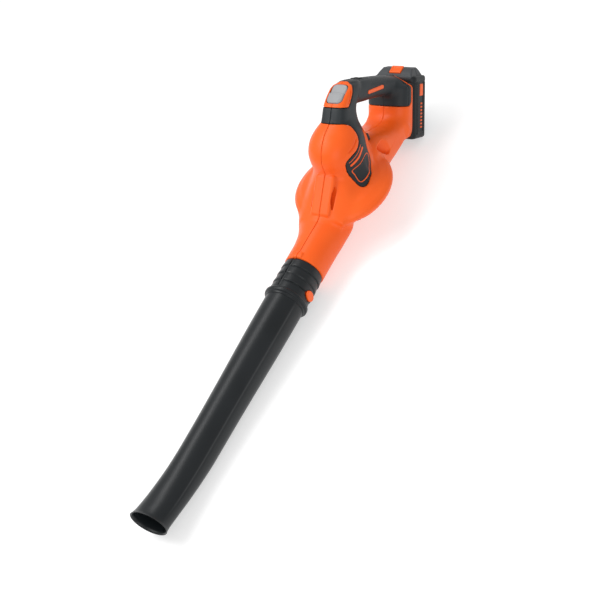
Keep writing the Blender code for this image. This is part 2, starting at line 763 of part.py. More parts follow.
def make_power_switch(root):
    """The sliding power button in the top of the handle and the switch it works."""
    low, high = SLIDER_N
    outline = [(low, 163.0), (high, 163.0), (high, 166.0), (high - 3, 167.4), (high - 4.5, 166.2),
               (high - 6, 167.4), (high - 7.5, 166.2), (high - 9, 167.4), (low + 2, 166.2),
               (low, 165.4)]
    slider = prism("slider", outline, -SLIDER_HALF_WIDTH, SLIDER_HALF_WIDTH, in_grip)
    place = in_grip(((low + high) / 2, 0, 165.0))
    stem = block("stem", (34.0, 38.0), (-2, 2), (158.0, 163.5), in_grip)
    part(unite([slider, stem]), "power_slider", "switch_body", root, place)
    body = block("switch", (26.0, 54.0), (-7, 7), (148.0, 157.6), in_grip)
    part(bevelled(body, 0.8), "power_switch", "switch_body", root)


def make_inlays(root):
    """The orange strip in each side of the handle."""
    for word, low, high in (("left", 15.7, 18.4), ("right", -18.4, -15.7)):
        strip = prism("inlay", inlay_outline(), low, high, in_grip)
        part(strip, "grip_inlay_" + word, "orange_button", root)


def make_wiring(root):
    """The control board and the leads between the battery, the board and the motor."""
    board = block("board", (-11.6, -10.0), (-13.0, 13.0), (97.0, 128.0), in_grip)
    part(board, "control_board", "circuit_board", root)
    for y, word, finish in ((5.5, "positive", "red_wire"), (-5.5, "negative", "black_wire")):
        route = [(138, y, 150), (130, y, 155), (118, y * 1.3, 157.5), (98, y * 1.3, 157),
                 (78, y * 1.5, 150), (60, y * 1.7, 146), (40, y * 1.8, 143.5), (22, y * 1.6, 142),
                 (9, y * 1.5, 138), (-1, y * 1.5, 132), (-7.5, y * 1.4, 126), (-8.5, y * 1.3, 117)]
        part(wire("lead", route, 1.2, in_grip), word + "_lead", finish, root)
    for y, word, finish in ((6.5, "a", "red_wire"), (-6.5, "b", "black_wire")):
        route = [(-14, y, 104), (-17, y * 1.1, 98), (-15, y * 1.2, 88), (-12.5, y * 1.3, 78),
                 (-10, y * 1.3, 70)]
        part(wire("lead", route, 1.0, in_grip), "motor_lead_" + word, finish, root)


# --- Battery ------------------------------------------------------------------------------

# The battery head's outline in n and u.
HEAD_SIDE = [(157.4, 156.4), (157.4, 160), (164, 167), (172, 173), (189, 173.4), (196, 167.5),
             (201.2, 158.5), (201.2, 156.4)]
HEAD_HALF_WIDTH = 35.0
RELEASE_MIDDLE = (167.8, 170.6)
RELEASE_SLOPE = math.radians(39.0)
BLADE_Y = (-16.5, -5.5, 5.5, 16.5)


def make_terminals(root):
    """The contact block in the tool, with its blades."""
    plate = block("plate", (141.0, 145.5), (-29.0, 29.0), (84.0, 146.5), in_grip)
    slots = []
    for y in BLADE_Y:
        slots.append(block("blade_slot", (139.0, 147.0), (y - 0.8, y + 0.8), (99.0, 122.0), in_grip))
    part(cut(plate, slots), "terminal_block", "switch_body", root)
    for index, y in enumerate(BLADE_Y):
        blade = block("blade", (140.0, 151.5), (y - 0.4, y + 0.4), (99.6, 121.4), in_grip)
        part(blade, "terminal_blade_%d" % (index + 1), "brass", root)


def battery_outline(inset):
    """The pack's section in n and y, round at the back corners and notched at the sides."""
    wide = BATTERY_HALF_WIDTH - inset
    rear, front = BATTERY_REAR_N - inset, BATTERY_FRONT_N + inset
    half = [(front, wide - 5), (front + 3, wide - 2), (front + 12, wide), (rear - 10, wide),
            (rear - 4, wide - 2), (rear, wide - 8)]
    return half + [(n, -y) for n, y in reversed(half)]


def make_battery(root):
    """The pack: case, head, cells, board, release button and spring."""
    origin = in_grip((147.0, 0.0, BATTERY_BOTTOM_U))
    levels = ((BATTERY_BOTTOM_U, BATTERY_CHAMFER), (BATTERY_BOTTOM_U + BATTERY_CHAMFER, 0.0),
              (BATTERY_TOP_U, 0.0))
    rings = [[(n, y, u) for n, y in battery_outline(inset)] for u, inset in levels]
    case = loft("case", rings, in_grip)
    foot = block("slide", (147.2, 160.0), (-28.0, 28.0), (84.6, 151.0), in_grip)
    case = unite([case, foot])
    hollow = [[(n, y, u) for n, y in battery_outline(2.4)]
              for u in (BATTERY_BOTTOM_U + 2.5, BATTERY_TOP_U + 5.0)]
    slots = [loft("hollow", hollow, in_grip)]
    for y in BLADE_Y:
        slots.append(block("slot", (140.0, 156.0), (y - 1.1, y + 1.1), (70.0, 124.0), in_grip))
    case = cut(case, slots)
    part(case, "battery_case", "battery_case", root, origin)

    head = bevelled(prism("head", HEAD_SIDE, -HEAD_HALF_WIDTH, HEAD_HALF_WIDTH, in_grip), 2.0)
    head = unite([head, block("nose", (147.4, 163.0), (-28.0, 28.0), (156.6, 161.0), in_grip)])
    inner = grown(HEAD_SIDE, -2.6)
    inner = [(n, u - (6.0 if u < 161 else 0.0)) for n, u in inner]
    tilted = in_tilted(RELEASE_MIDDLE, RELEASE_SLOPE)
    pocket = block("pocket", (-8.3, 8.3), (-11.3, 11.3), (-9.0, 9.0), tilted)
    half = HEAD_HALF_WIDTH - 3.0
    head = cut(head, [prism("head_hollow", inner, -half, half, in_grip), pocket])
    part(head, "battery_head", "battery_head", root, origin)

    button = bevelled(block("release", (-8.0, 8.0), (-11.0, 11.0), (-3.2, 0.9), tilted), 0.8)
    middle = tilted((0, 0, 0))
    part(button, "battery_release_button", "orange_button", root, middle)
    spring = coil("spring", 3.4, 0.4, 3, 4.6, lambda p: tilted((p[0], p[1], p[2] - 8.2)))
    part(spring, "battery_release_spring", "steel", root, middle)

    pitch = 2 * CELL_R + 0.05
    for index in range(CELL_COUNT):
        centre = in_grip((CELL_N, 0.0, BATTERY_BOTTOM_U + 3.4 + CELL_R + pitch * index))
        mapping = along_y(centre.x, centre.z)
        cell = disc("cell", CELL_R, -CELL_LENGTH / 2, CELL_LENGTH / 2, mapping)
        part(cell, "battery_cell_%d" % (index + 1), "cell_wrap", root, centre)
    board = block("board", (168.0, 169.6), (-26.0, 26.0), (72.0, 148.0), in_grip)
    part(board, "battery_board", "circuit_board", root)


# --- Blow tube ----------------------------------------------------------------------------

LOCK_MIDDLE = (207.0, 0.0, TUBE_AXIS_Z - 4.0)
LOCK_HALF_LENGTH = 6.0
LOCK_HALF_HEIGHT = 9.0


def tube_sections(inset):
    """(x, centre z, half width, half height) along the tube, which turns up at its nozzle."""
    axis = TUBE_AXIS_Z
    rows = [(FLANGE_X + FLANGE_LENGTH + 1, axis, 31.4, 31.4), (450, axis, 27.3, 27.3),
            (500, axis + 0.3, 27.0, 26.6), (535, axis + 2.2, 27.2, 24.8),
            (570, axis + 6.6, 28.0, 22.6), (600, axis + 12.0, 29.0, 21.4),
            (620, axis + 16.2, 29.8, 21.6), (628, axis + 18.1, 30.6, 22.6)]
    return [(x, z, wide - inset, high - inset) for x, z, wide, high in rows]


NOZZLE_BEND_X = 500.0       # where the tube starts to turn up
NOZZLE_LEAN = 0.14          # how far the mouth's face leans back, as a slope


def tube_rings(rows, lean=NOZZLE_LEAN):
    """Rings of points for rows of (x, centre z, half width, half height), leaning at the nozzle."""
    rings = []
    last = rows[-1][0]
    for x, z, wide, high in rows:
        share = max(0.0, (x - NOZZLE_BEND_X) / (last - NOZZLE_BEND_X))
        ring = []
        for a, b in oval(wide, high, 2.0, ROUND):
            ring.append((x - lean * share * b, a, z + b))
        rings.append(ring)
    return rings


def make_tube(root):
    """The removable blow tube with its collar and flange, and the lock button in its side."""
    origin = Vector((DUCT_END_X, 0, TUBE_AXIS_Z))
    start = DUCT_END_X + GAP
    collar = [(start, DUCT_R), (FLANGE_X, DUCT_R), (FLANGE_X + 1, FLANGE_R),
              (FLANGE_X + FLANGE_LENGTH, FLANGE_R)]
    rows = [(x, TUBE_AXIS_Z, r, r) for x, r in collar] + tube_sections(0.0)
    outer = loft("tube", tube_rings(rows))
    bore_rows = [(start - 5, TUBE_AXIS_Z, 29.2, 29.2)] + tube_sections(TUBE_WALL)
    end = bore_rows[-1]
    bore_rows[-1] = (end[0] - 1.0, end[1] - 0.2, end[2], end[3])
    bore_rows.append((end[0] + 12.0, end[1] + 2.0, end[2] + 1.0, end[3] + 1.0))
    tube = cut(outer, [loft("bore", tube_rings(bore_rows))])
    lock_at = Vector(LOCK_MIDDLE)
    around = [(lock_at.x + a, lock_at.z + b)
              for a, b in oval(LOCK_HALF_LENGTH + GAP, LOCK_HALF_HEIGHT + GAP, 2.0, 14)]
    tube = cut(tube, [prism("lock_hole", around, 20, 60)])
    part(tube, "blow_tube", "black_tube", root, origin)

    edge = oval(LOCK_HALF_LENGTH, LOCK_HALF_HEIGHT, 2.0, 14)
    levels = ((30.6, 1.0), (34.0, 1.0), (35.2, 0.72))
    button = [[(lock_at.x + a * share, y, lock_at.z + b * share) for a, b in edge]
              for y, share in levels]
    part(loft("lock", button), "tube_lock_button", "orange_button", root, lock_at)


# --- Screws -------------------------------------------------------------------------------

def make_screws(root):
    """The case screws, driven in from the right."""
    for index, (x, z) in enumerate(boss_places()):
        end = SCREW_HEAD_Y - SCREW_HEAD_HEIGHT
        outline = [(0, SCREW_TIP_Y), (SCREW_SHANK_R, SCREW_TIP_Y), (SCREW_SHANK_R, SCREW_HEAD_Y),
                   (SCREW_HEAD_R, SCREW_HEAD_Y), (SCREW_HEAD_R, end), (1.4, end),
                   (1.4, end + 1.0), (0, end + 1.0)]
        screw = turned("screw", outline, along_y(x, z), 10)
        part(screw, "case_screw_%d" % (index + 1), "steel", root)


def settle(root):
    """Turns the tool onto its two resting edges and puts the origin under its middle."""
    heel = in_grip((BATTERY_REAR_N - BATTERY_CHAMFER, 0, BATTERY_BOTTOM_U))
    toe_x, toe_z = FLANGE_X + 1.0, TUBE_AXIS_Z - FLANGE_R
    tilt = math.atan2(toe_z - heel.z, toe_x - heel.x)
    root.rotation_euler = (0.0, tilt, 0.0)
    bpy.context.view_layer.update()
    low, high = Vector((1e9,) * 3), Vector((-1e9,) * 3)
    for child in root.children:
        for vertex in child.data.vertices:
            place = child.matrix_world @ vertex.co
            for k in range(3):
                low[k], high[k] = min(low[k], place[k]), max(high[k], place[k])
    root.location = (-(low.x + high.x) / 2, -(low.y + high.y) / 2, -low.z)


def main():
    for old in list(bpy.data.objects):
        bpy.data.objects.remove(old, do_unlink=True)
    root = bpy.data.objects.new("tool_frame", None)
    bpy.context.scene.collection.objects.link(root)
    make_shells(root)
    make_intake(root)
    make_fan(root)
    make_motor(root)
    make_boost(root)
    make_power_switch(root)
    make_inlays(root)
    make_wiring(root)
    make_terminals(root)
    make_battery(root)
    make_tube(root)
    make_screws(root)
    settle(root)


main()
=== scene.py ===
"""The looks of the cordless leaf blower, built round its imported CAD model.

Lengths are millimetres in the tool's own axes, as the CAD model is drawn: x forward along the
blow tube, y to the tool's left, z up along the fan's axis, from the middle of the fan. The
handle's axes are n, back along the handle, and u, up along the battery. The two joint axes in
the record give the step from there to the world.

The moulded pieces are signed distance fields: each form is a function that gives the distance
to its surface at every sample point of a Space, forms are blended with soft unions, grooves and
pockets are taken out with soft differences, and a mesher draws the skin at distance 0.
"""

import json
import math

import bpy
import numpy as np
import openvdb
from mathutils import Matrix, Vector


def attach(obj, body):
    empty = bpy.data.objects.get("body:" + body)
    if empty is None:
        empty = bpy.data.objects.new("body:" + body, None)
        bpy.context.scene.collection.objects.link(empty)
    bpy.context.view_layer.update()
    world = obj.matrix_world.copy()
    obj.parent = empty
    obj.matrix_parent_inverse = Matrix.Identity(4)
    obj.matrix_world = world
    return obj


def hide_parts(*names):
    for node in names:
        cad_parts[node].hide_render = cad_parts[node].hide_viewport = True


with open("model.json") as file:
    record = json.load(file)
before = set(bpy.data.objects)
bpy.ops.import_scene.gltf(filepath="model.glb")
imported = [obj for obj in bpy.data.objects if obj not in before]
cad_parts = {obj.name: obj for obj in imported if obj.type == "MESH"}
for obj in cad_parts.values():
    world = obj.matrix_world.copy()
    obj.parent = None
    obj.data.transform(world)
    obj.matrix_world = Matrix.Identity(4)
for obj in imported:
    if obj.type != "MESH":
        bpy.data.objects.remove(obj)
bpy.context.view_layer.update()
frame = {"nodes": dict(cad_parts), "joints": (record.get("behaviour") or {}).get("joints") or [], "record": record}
JOINTS = {joint["name"]: joint for joint in frame["joints"]}

MM = 0.001
LEAN = math.radians(37.0)       # the handle's slope against the tube
COS_LEAN, SIN_LEAN = math.cos(LEAN), math.sin(LEAN)
TUBE_Z = -20.6                  # height of the tube's axis
DUCT_R = 33.0
DUCT_END = 161.0
SPIGOT_R = 28.6                 # the round spigot that the blow tube slides onto
SPIGOT_END = 213.0
WALL = 2.4
SEAM = 0.22                     # half the gap between the two halves
STEP = 1.1                      # sample spacing of the body's large mouldings
GAP = 0.25                      # clearance round a moulding let into another
SIDES = (("left", 1.0), ("right", -1.0))


def tool_to_world():
    """The matrix from the tool's millimetres to the world's metres, from the joints' axes."""
    up = Vector(JOINTS["fan_spin"]["axis"]).normalized()
    forward = Vector(JOINTS["tube_slide"]["axis"]).normalized()
    turn = Matrix((forward, up.cross(forward), up)).transposed().to_4x4()
    return Matrix.Translation(JOINTS["fan_spin"]["pos_m"]) @ turn @ Matrix.Scale(MM, 4)


TO_WORLD = tool_to_world()
GRIP_AXES = Matrix(((-COS_LEAN, 0, -SIN_LEAN, 0), (0, 1, 0, 0), (-SIN_LEAN, 0, COS_LEAN, 0),
                    (0, 0, 0, 1)))


# --- Camera, lights and floor ---------------------------------------------------------------

CAMERA_AT = (1060.5, 1008.9, 1251.4)
CAMERA_RIGHT = (-0.439, 0.827, -0.350)
CAMERA_UP = (-0.769, -0.144, 0.623)
AIM = (0.0, 0.0, 0.08)          # metres, the middle of the tool as it lies
LIGHTS = [  # name, place and size in metres, watts
    ("key", (0.6, -0.8, 1.6), (1.1, 1.1), 11.0), ("fill", (1.2, 0.9, 1.0), (1.0, 1.0), 6.5),
    ("strip", (-0.3, -0.7, 1.5), (1.6, 0.5), 10.0)]
SKY_STRENGTH = 0.60
FLOOR_SIDE = 6.0                # half the floor's side, metres
FLOOR_LEVEL = 0.60
FLOOR_GLOW = 0.50


def make_camera():
    """The viewer stands ahead of the tool, to its left and above it."""
    data = bpy.data.cameras.new("camera")
    data.lens = 72.0
    data.sensor_width = 36.0
    camera = bpy.data.objects.new("camera", data)
    bpy.context.scene.collection.objects.link(camera)
    turn = TO_WORLD.to_3x3().normalized()
    right = (turn @ Vector(CAMERA_RIGHT)).normalized()
    up = turn @ Vector(CAMERA_UP)
    back = right.cross(up).normalized()
    up = back.cross(right)
    matrix = Matrix((right, up, back)).transposed().to_4x4()
    matrix.translation = TO_WORLD @ Vector(CAMERA_AT)
    camera.matrix_world = matrix
    bpy.context.scene.camera = camera


def area_light(name, place, size, power):
    """A soft rectangular light that points at the tool."""
    data = bpy.data.lights.new(name, "AREA")
    data.shape = "RECTANGLE"
    data.size, data.size_y = size
    data.energy = power
    light = bpy.data.objects.new(name, data)
    bpy.context.scene.collection.objects.link(light)
    light.location = place
    light.rotation_mode = "QUATERNION"
    light.rotation_quaternion = (Vector(place) - Vector(AIM)).to_track_quat("Z", "Y")


def make_studio():
    """A pale floor under soft light from above, the left and the front."""
    world = bpy.data.worlds.new("studio")
    world.use_nodes = True
    world.node_tree.nodes["Background"].inputs["Color"].default_value = (1.0, 1.0, 1.0, 1.0)
    world.node_tree.nodes["Background"].inputs["Strength"].default_value = SKY_STRENGTH
    bpy.context.scene.world = world
    bpy.context.scene.view_settings.view_transform = "Standard"
    for name, place, size, power in LIGHTS:
        area_light(name, place, size, power)
    corners = [(-1, -1), (1, -1), (1, 1), (-1, 1)]
    points = [(x * FLOOR_SIDE, y * FLOOR_SIDE, 0.0) for x, y in corners]
    floor = link_mesh("floor", points, [(0, 1, 2, 3)])
    paint = Paint("pale_floor")
    paint.shader.inputs["Base Color"].default_value = (FLOOR_LEVEL, FLOOR_LEVEL, FLOOR_LEVEL, 1.0)
    paint.shader.inputs["Roughness"].default_value = 0.9
    paint.shader.inputs["Specular IOR Level"].default_value = 0.1
    paint.shader.inputs["Emission Color"].default_value = (1.0, 1.0, 1.0, 1.0)
    paint.shader.inputs["Emission Strength"].default_value = FLOOR_GLOW
    floor.data.materials.append(paint.material)


# --- Materials ------------------------------------------------------------------------------

class Paint:
    """A node material, with short helpers for the nodes that its makers share."""

    def __init__(self, name):
        self.material = bpy.data.materials.new(name)
        self.material.use_nodes = True
        self.tree = self.material.node_tree
        self.shader = self.tree.nodes["Principled BSDF"]
        self.where = self.tree.nodes.new("ShaderNodeTexCoord").outputs["Object"]

    def node(self, kind, **settings):
        made = self.tree.nodes.new(kind)
        for key, value in settings.items():
            setattr(made, key, value)
        return made

    def link(self, source, target):
        self.tree.links.new(source, target)

    def noise(self, scale, detail=3.0, rough=0.5, stretch=None):
        """Fractal noise with features of about 1 / scale metres; stretch scales the axes."""
        made = self.node("ShaderNodeTexNoise")
        made.inputs["Scale"].default_value = scale
        made.inputs["Detail"].default_value = detail
        made.inputs["Roughness"].default_value = rough
        source = self.where
        if stretch:
            mapping = self.node("ShaderNodeMapping")
            mapping.inputs["Scale"].default_value = stretch
            self.link(source, mapping.inputs["Vector"])
            source = mapping.outputs["Vector"]
        self.link(source, made.inputs["Vector"])
        return made.outputs["Fac"]

    def ramp(self, value, stops):
        """A ramp from (position, colour or grey level) stops."""
        made = self.node("ShaderNodeValToRGB")
        bar = made.color_ramp
        while len(bar.elements) < len(stops):
            bar.elements.new(0.5)
        for element, (place, colour) in zip(bar.elements, stops):
            element.position = place
            level = colour if isinstance(colour, tuple) else (colour,) * 3
            element.color = (*level, 1.0)
        self.link(value, made.inputs["Fac"])
        return made.outputs["Color"]

    def spread(self, value, low, high, start=0.0, end=1.0):
        """value carried from the range start..end onto low..high."""
        made = self.node("ShaderNodeMapRange")
        made.inputs["From Min"].default_value = start
        made.inputs["From Max"].default_value = end
        made.inputs["To Min"].default_value = low
        made.inputs["To Max"].default_value = high
        self.link(value, made.inputs["Value"])
        return made.outputs["Result"]

    def mix(self, share, first, second):
        """Two colours mixed; share, first and second are sockets or plain values."""
        made = self.node("ShaderNodeMix", data_type="RGBA")
        for socket, value in zip((made.inputs[0], made.inputs[6], made.inputs[7]),
                                 (share, first, second)):
            if isinstance(value, bpy.types.NodeSocket):
                self.link(value, socket)
            else:
                socket.default_value = (*value, 1.0) if isinstance(value, tuple) else value
        return made.outputs[2]

    def math(self, operation, first, second):
        made = self.node("ShaderNodeMath", operation=operation)
        for socket, value in zip(made.inputs, (first, second)):
            if isinstance(value, bpy.types.NodeSocket):
                self.link(value, socket)
            else:
                socket.default_value = value
        return made.outputs[0]

    def attribute(self, name):
        return self.node("ShaderNodeAttribute", attribute_name=name).outputs["Fac"]

    def bump(self, height, strength, distance):
        made = self.node("ShaderNodeBump")
        made.inputs["Strength"].default_value = strength
        made.inputs["Distance"].default_value = distance
        last = self.shader.inputs["Normal"]
        if last.is_linked:
            self.link(last.links[0].from_socket, made.inputs["Normal"])
        self.link(height, made.inputs["Height"])
        self.link(made.outputs["Normal"], last)

    def colour(self, source):
        self.link(source, self.shader.inputs["Base Color"])

    def rough(self, source):
        self.link(source, self.shader.inputs["Roughness"])

    def edges(self):
        """1 on sharp outer edges, 0 on flats and in hollows."""
        point = self.node("ShaderNodeNewGeometry").outputs["Pointiness"]
        return self.spread(point, 0.0, 1.0, 0.52, 0.60)


def moulded(name, base, light, rough, grain=900.0, grain_depth=0.02, edge_highlight=0.15):
    """Moulded plastic: slow colour drift, fine grain, faint scuffs, and a painted highlight that makes sharp outer
    edges paler.
    """
    paint = Paint(name)
    paint.shader.inputs["Specular IOR Level"].default_value = 0.3
    drift = paint.noise(14.0, 4.0, 0.55)
    colour = paint.mix(paint.ramp(drift, [(0.35, 0.0), (0.7, 1.0)]), base, light)
    scuffs = paint.ramp(paint.noise(60.0, 8.0, 0.7, (1.0, 5.0, 1.0)), [(0.60, 0.0), (0.74, 1.0)])
    # Painted highlight: sharp outer edges are mixed towards a paler colour, as if they caught the light.
    highlit_edges = paint.math("MULTIPLY", paint.edges(), edge_highlight)
    highlight_colour = tuple(min(1.0, c * 1.25 + 0.05) for c in light)
    paint.colour(paint.mix(highlit_edges, colour, highlight_colour))
    fine = paint.noise(grain, 2.0, 0.5)
    roughness = paint.spread(drift, rough - 0.03, rough + 0.05)
    roughness = paint.math("ADD", roughness, paint.math("MULTIPLY", scuffs, 0.10))
    paint.rough(roughness)
    paint.bump(fine, 0.35, grain_depth * MM)
    return paint


# Base colours, linear.
ORANGE = (0.900, 0.112, 0.010)
ORANGE_LIGHT = (0.925, 0.128, 0.014)
CHARCOAL = (0.014, 0.018, 0.021)
CHARCOAL_LIGHT = (0.020, 0.025, 0.028)
BLACK = (0.0065, 0.0085, 0.010)
BLACK_LIGHT = (0.010, 0.0125, 0.0145)
GREY = (0.28, 0.285, 0.295)
GREY_LIGHT = (0.33, 0.335, 0.345)
HEAD_GREY = (0.048, 0.052, 0.056)
HEAD_GREY_LIGHT = (0.062, 0.066, 0.071)


def make_orange():
    paint = moulded("orange_shell", ORANGE, ORANGE_LIGHT, 0.38, 700.0, 0.03, 0.22)
    paint.shader.inputs["Specular IOR Level"].default_value = 0.22
    paint.shader.inputs["Coat Weight"].default_value = 0.04
    paint.shader.inputs["Coat Roughness"].default_value = 0.25
    return paint.material


def make_grip_paint():
    """Soft overmould: matt, with a dotted texture where the mesh's stipple attribute says."""
    paint = moulded("dark_grip", CHARCOAL, CHARCOAL_LIGHT, 0.46, 1100.0, 0.03, 0.25)
    dots = paint.node("ShaderNodeTexVoronoi", feature="F1")
    dots.inputs["Scale"].default_value = 620.0
    dots.inputs["Randomness"].default_value = 0.12
    paint.link(paint.where, dots.inputs["Vector"])
    bumps = paint.spread(dots.outputs["Distance"], 1.0, 0.0, 0.15, 0.5)
    bumps = paint.math("MULTIPLY", bumps, paint.attribute("stipple"))
    paint.bump(bumps, 0.9, 0.35 * MM)
    return paint.material


# The last argument sets the strength of the painted highlight on sharp outer edges.
def make_plain(name, base, light, rough, grain=900.0, depth=0.02, edge_highlight=0.2):
    return moulded(name, base, light, rough, grain, depth, edge_highlight).material


def make_tube_paint():
    """Black blow-moulded plastic: satin, with faint lengthwise flow lines."""
    paint = moulded("black_tube", BLACK, BLACK_LIGHT, 0.34, 500.0, 0.03, 0.3)
    paint.shader.inputs["Specular IOR Level"].default_value = 0.32
    flow = paint.noise(90.0, 3.0, 0.5, (0.06, 1.0, 1.0))
    paint.bump(flow, 0.25, 0.05 * MM)
    return paint.material


def make_metal(name, base, rough, stretch=(1.0, 1.0, 12.0)):
    paint = Paint(name)
    paint.shader.inputs["Metallic"].default_value = 1.0
    brushed = paint.noise(400.0, 4.0, 0.6, stretch)
    dull = tuple(c * 0.8 for c in base)
    paint.colour(paint.mix(paint.ramp(paint.noise(40.0), [(0.4, 0.0), (0.7, 1.0)]), base, dull))
    paint.rough(paint.spread(brushed, rough, rough + 0.2))
    paint.bump(brushed, 0.2, 0.02 * MM)
    return paint.material


def make_wound_copper():
    """Enamelled wire laid round and round."""
    paint = Paint("copper")
    paint.shader.inputs["Metallic"].default_value = 0.8
    turns = paint.node("ShaderNodeTexWave", bands_direction="Z")
    turns.inputs["Scale"].default_value = 300.0
    turns.inputs["Distortion"].default_value = 1.5
    paint.link(paint.where, turns.inputs["Vector"])
    paint.colour(paint.mix(turns.outputs["Fac"], (0.42, 0.13, 0.04), (0.72, 0.30, 0.11)))
    paint.rough(paint.spread(paint.noise(200.0), 0.25, 0.45))
    paint.bump(turns.outputs["Fac"], 0.5, 0.2 * MM)
    return paint.material


def make_board():
    """A circuit board: green lacquer over faint copper tracks."""
    paint = moulded("circuit_board", (0.010, 0.085, 0.030), (0.014, 0.11, 0.04), 0.30)
    tracks = paint.node("ShaderNodeTexBrick")
    tracks.inputs["Scale"].default_value = 130.0
    tracks.inputs["Color1"].default_value = (0.010, 0.085, 0.030, 1.0)
    tracks.inputs["Color2"].default_value = (0.016, 0.12, 0.045, 1.0)
    tracks.inputs["Mortar"].default_value = (0.05, 0.20, 0.07, 1.0)
    paint.link(paint.where, tracks.inputs["Vector"])
    paint.colour(tracks.outputs["Color"])
    paint.bump(tracks.outputs["Fac"], 0.4, 0.05 * MM)
    return paint.material


def make_paints():
    """One material for each of the record's slots."""
    plain = {  # base colour, lighter colour, roughness
        "grey_button": (GREY, GREY_LIGHT, 0.36),
        "orange_button": (ORANGE, ORANGE_LIGHT, 0.34),
        "battery_case": (BLACK, BLACK_LIGHT, 0.42),
        "battery_head": (HEAD_GREY, HEAD_GREY_LIGHT, 0.44),
        "cell_wrap": ((0.03, 0.16, 0.34), (0.05, 0.22, 0.42), 0.30),
        "magnet": ((0.05, 0.05, 0.055), (0.07, 0.07, 0.075), 0.55),
        "switch_body": ((0.010, 0.011, 0.012), (0.016, 0.017, 0.018), 0.40),
        "fan_plastic": ((0.030, 0.031, 0.033), (0.040, 0.041, 0.043), 0.50),
        "red_wire": ((0.45, 0.012, 0.010), (0.55, 0.02, 0.016), 0.42),
        "black_wire": (BLACK, BLACK_LIGHT, 0.42)}
    paints = {name: make_plain(name, *look) for name, look in plain.items()}
    paints["orange_shell"] = make_orange()
    paints["dark_grip"] = make_grip_paint()
    paints["black_tube"] = make_tube_paint()
    paints["steel"] = make_metal("steel", (0.56, 0.57, 0.58), 0.28)
    paints["brass"] = make_metal("brass", (0.72, 0.52, 0.20), 0.25)
    paints["copper"] = make_wound_copper()
    paints["circuit_board"] = make_board()
    return paints


def paint_frame(paints):
    """Gives every CAD node the material of its slot."""
    for row in frame["record"]["subparts"]:
        for place in frame["nodes"][row["node"]].material_slots:
            place.material = paints[row["material_slot"]]


# --- Distance fields ------------------------------------------------------------------------

class Space:
    """A block of evenly spaced sample points, in millimetres, in some set of axes."""

    def __init__(self, low, high, step, axes=None):
        self.low = low
        self.step = step
        self.axes = axes or Matrix.Identity(4)
        lines = [np.arange(a, b + step, step, dtype=np.float32) for a, b in zip(low, high)]
        self.x = lines[0][:, None, None]
        self.y = lines[1][None, :, None]
        self.z = lines[2][None, None, :]
        self.n = -self.x * COS_LEAN - self.z * SIN_LEAN
        self.u = -self.x * SIN_LEAN + self.z * COS_LEAN

    def crop(self, low, high):
        """The index ranges that hold a smaller block."""
        ranges = []
        for line, a, b in zip((self.x, self.y, self.z), low, high):
            flat = line.ravel()
            ranges.append(slice(int(np.searchsorted(flat, a)), int(np.searchsorted(flat, b))))
        return tuple(ranges)


class GripSpace(Space):
    """A block laid along the handle's axes; its corners are (n, y, u)."""

    def __init__(self, low, high, step):
        super().__init__(low, high, step, GRIP_AXES)
        self.n, self.u = self.x, self.z
        self.x = -self.n * COS_LEAN - self.u * SIN_LEAN
        self.z = -self.n * SIN_LEAN + self.u * COS_LEAN


def smin(a, b, k):
    """Soft union of two fields; k is about the width of the fillet between them."""
    h = np.clip(0.5 + 0.5 * (b - a) / k, 0.0, 1.0)
    return b + (a - b) * h - k * h * (1.0 - h)


def smax(a, b, k):
    """Soft intersection of two fields."""
    return -smin(-a, -b, k)


def carve(shape, cutter, k=0.8):
    """shape without cutter, the rim rounded over about k."""
    return smax(shape, -cutter, k)


def curve_through(where, places, values):
    """A smooth curve through the given values, without overshoot, read at where."""
    places = np.asarray(places, float)
    values = np.asarray(values, float)
    steps = np.diff(places)
    slopes = np.diff(values) / steps
    tangents = np.zeros_like(values)
    tangents[0], tangents[-1] = slopes[0], slopes[-1]
    same = slopes[:-1] * slopes[1:] > 0
    middle = np.zeros(len(slopes) - 1)
    middle[same] = 2 * slopes[:-1][same] * slopes[1:][same] / (slopes[:-1] + slopes[1:])[same]
    tangents[1:-1] = middle
    at = np.clip(where, places[0], places[-1])
    i = np.clip(np.searchsorted(places, at) - 1, 0, len(steps) - 1)
    t = (at - places[i]) / steps[i]
    a, b = values[i], values[i + 1]
    ta, tb = tangents[i] * steps[i], tangents[i + 1] * steps[i]
    cubic = (2 * t**3 - 3 * t**2 + 1) * a + (t**3 - 2 * t**2 + t) * ta
    cubic += (-2 * t**3 + 3 * t**2) * b + (t**3 - t**2) * tb
    return cubic.astype(np.float32)


def oval(a, b, half_a, half_b, power):
    """Distance from a rounded oval, measured towards its middle."""
    ratio = (np.abs(a / half_a) ** power + np.abs(b / half_b) ** power) ** (1.0 / power)
    ratio = np.maximum(ratio, 1e-3)
    return np.hypot(a, b) * (1.0 - 1.0 / ratio)


def stack(height, long, wide, sections, power, k=6.0):
    """A stack of ovals. A section is (height, centre, half length, half width, side shift)."""
    places = [row[0] for row in sections]
    centre, half_long, half_wide, shift = (
        curve_through(height, places, [row[i] for row in sections]) for i in (1, 2, 3, 4))
    side = oval(long - centre, wide - shift, half_long, half_wide, power)
    ends = np.maximum(places[0] - height, height - places[-1])
    return smax(side, ends, k)


def ball(s, centre, radii):
    """An ellipsoid, measured towards its middle."""
    a, b, c = ((line - middle) / radius for line, middle, radius in
               zip((s.x, s.y, s.z), centre, radii))
    ratio = np.maximum(np.sqrt(a * a + b * b + c * c), 1e-3)
    return (ratio - 1.0) * min(radii)


def slab(values, halves, radius):
    """A box with round edges about the origin of the given coordinate arrays."""
    over = [np.abs(value) - (half - radius) for value, half in zip(values, halves)]
    outside = np.sqrt(sum(np.maximum(o, 0.0) ** 2 for o in over))
    inside = over[0]
    for o in over[1:]:
        inside = np.maximum(inside, o)
    return outside + np.minimum(inside, 0.0) - radius


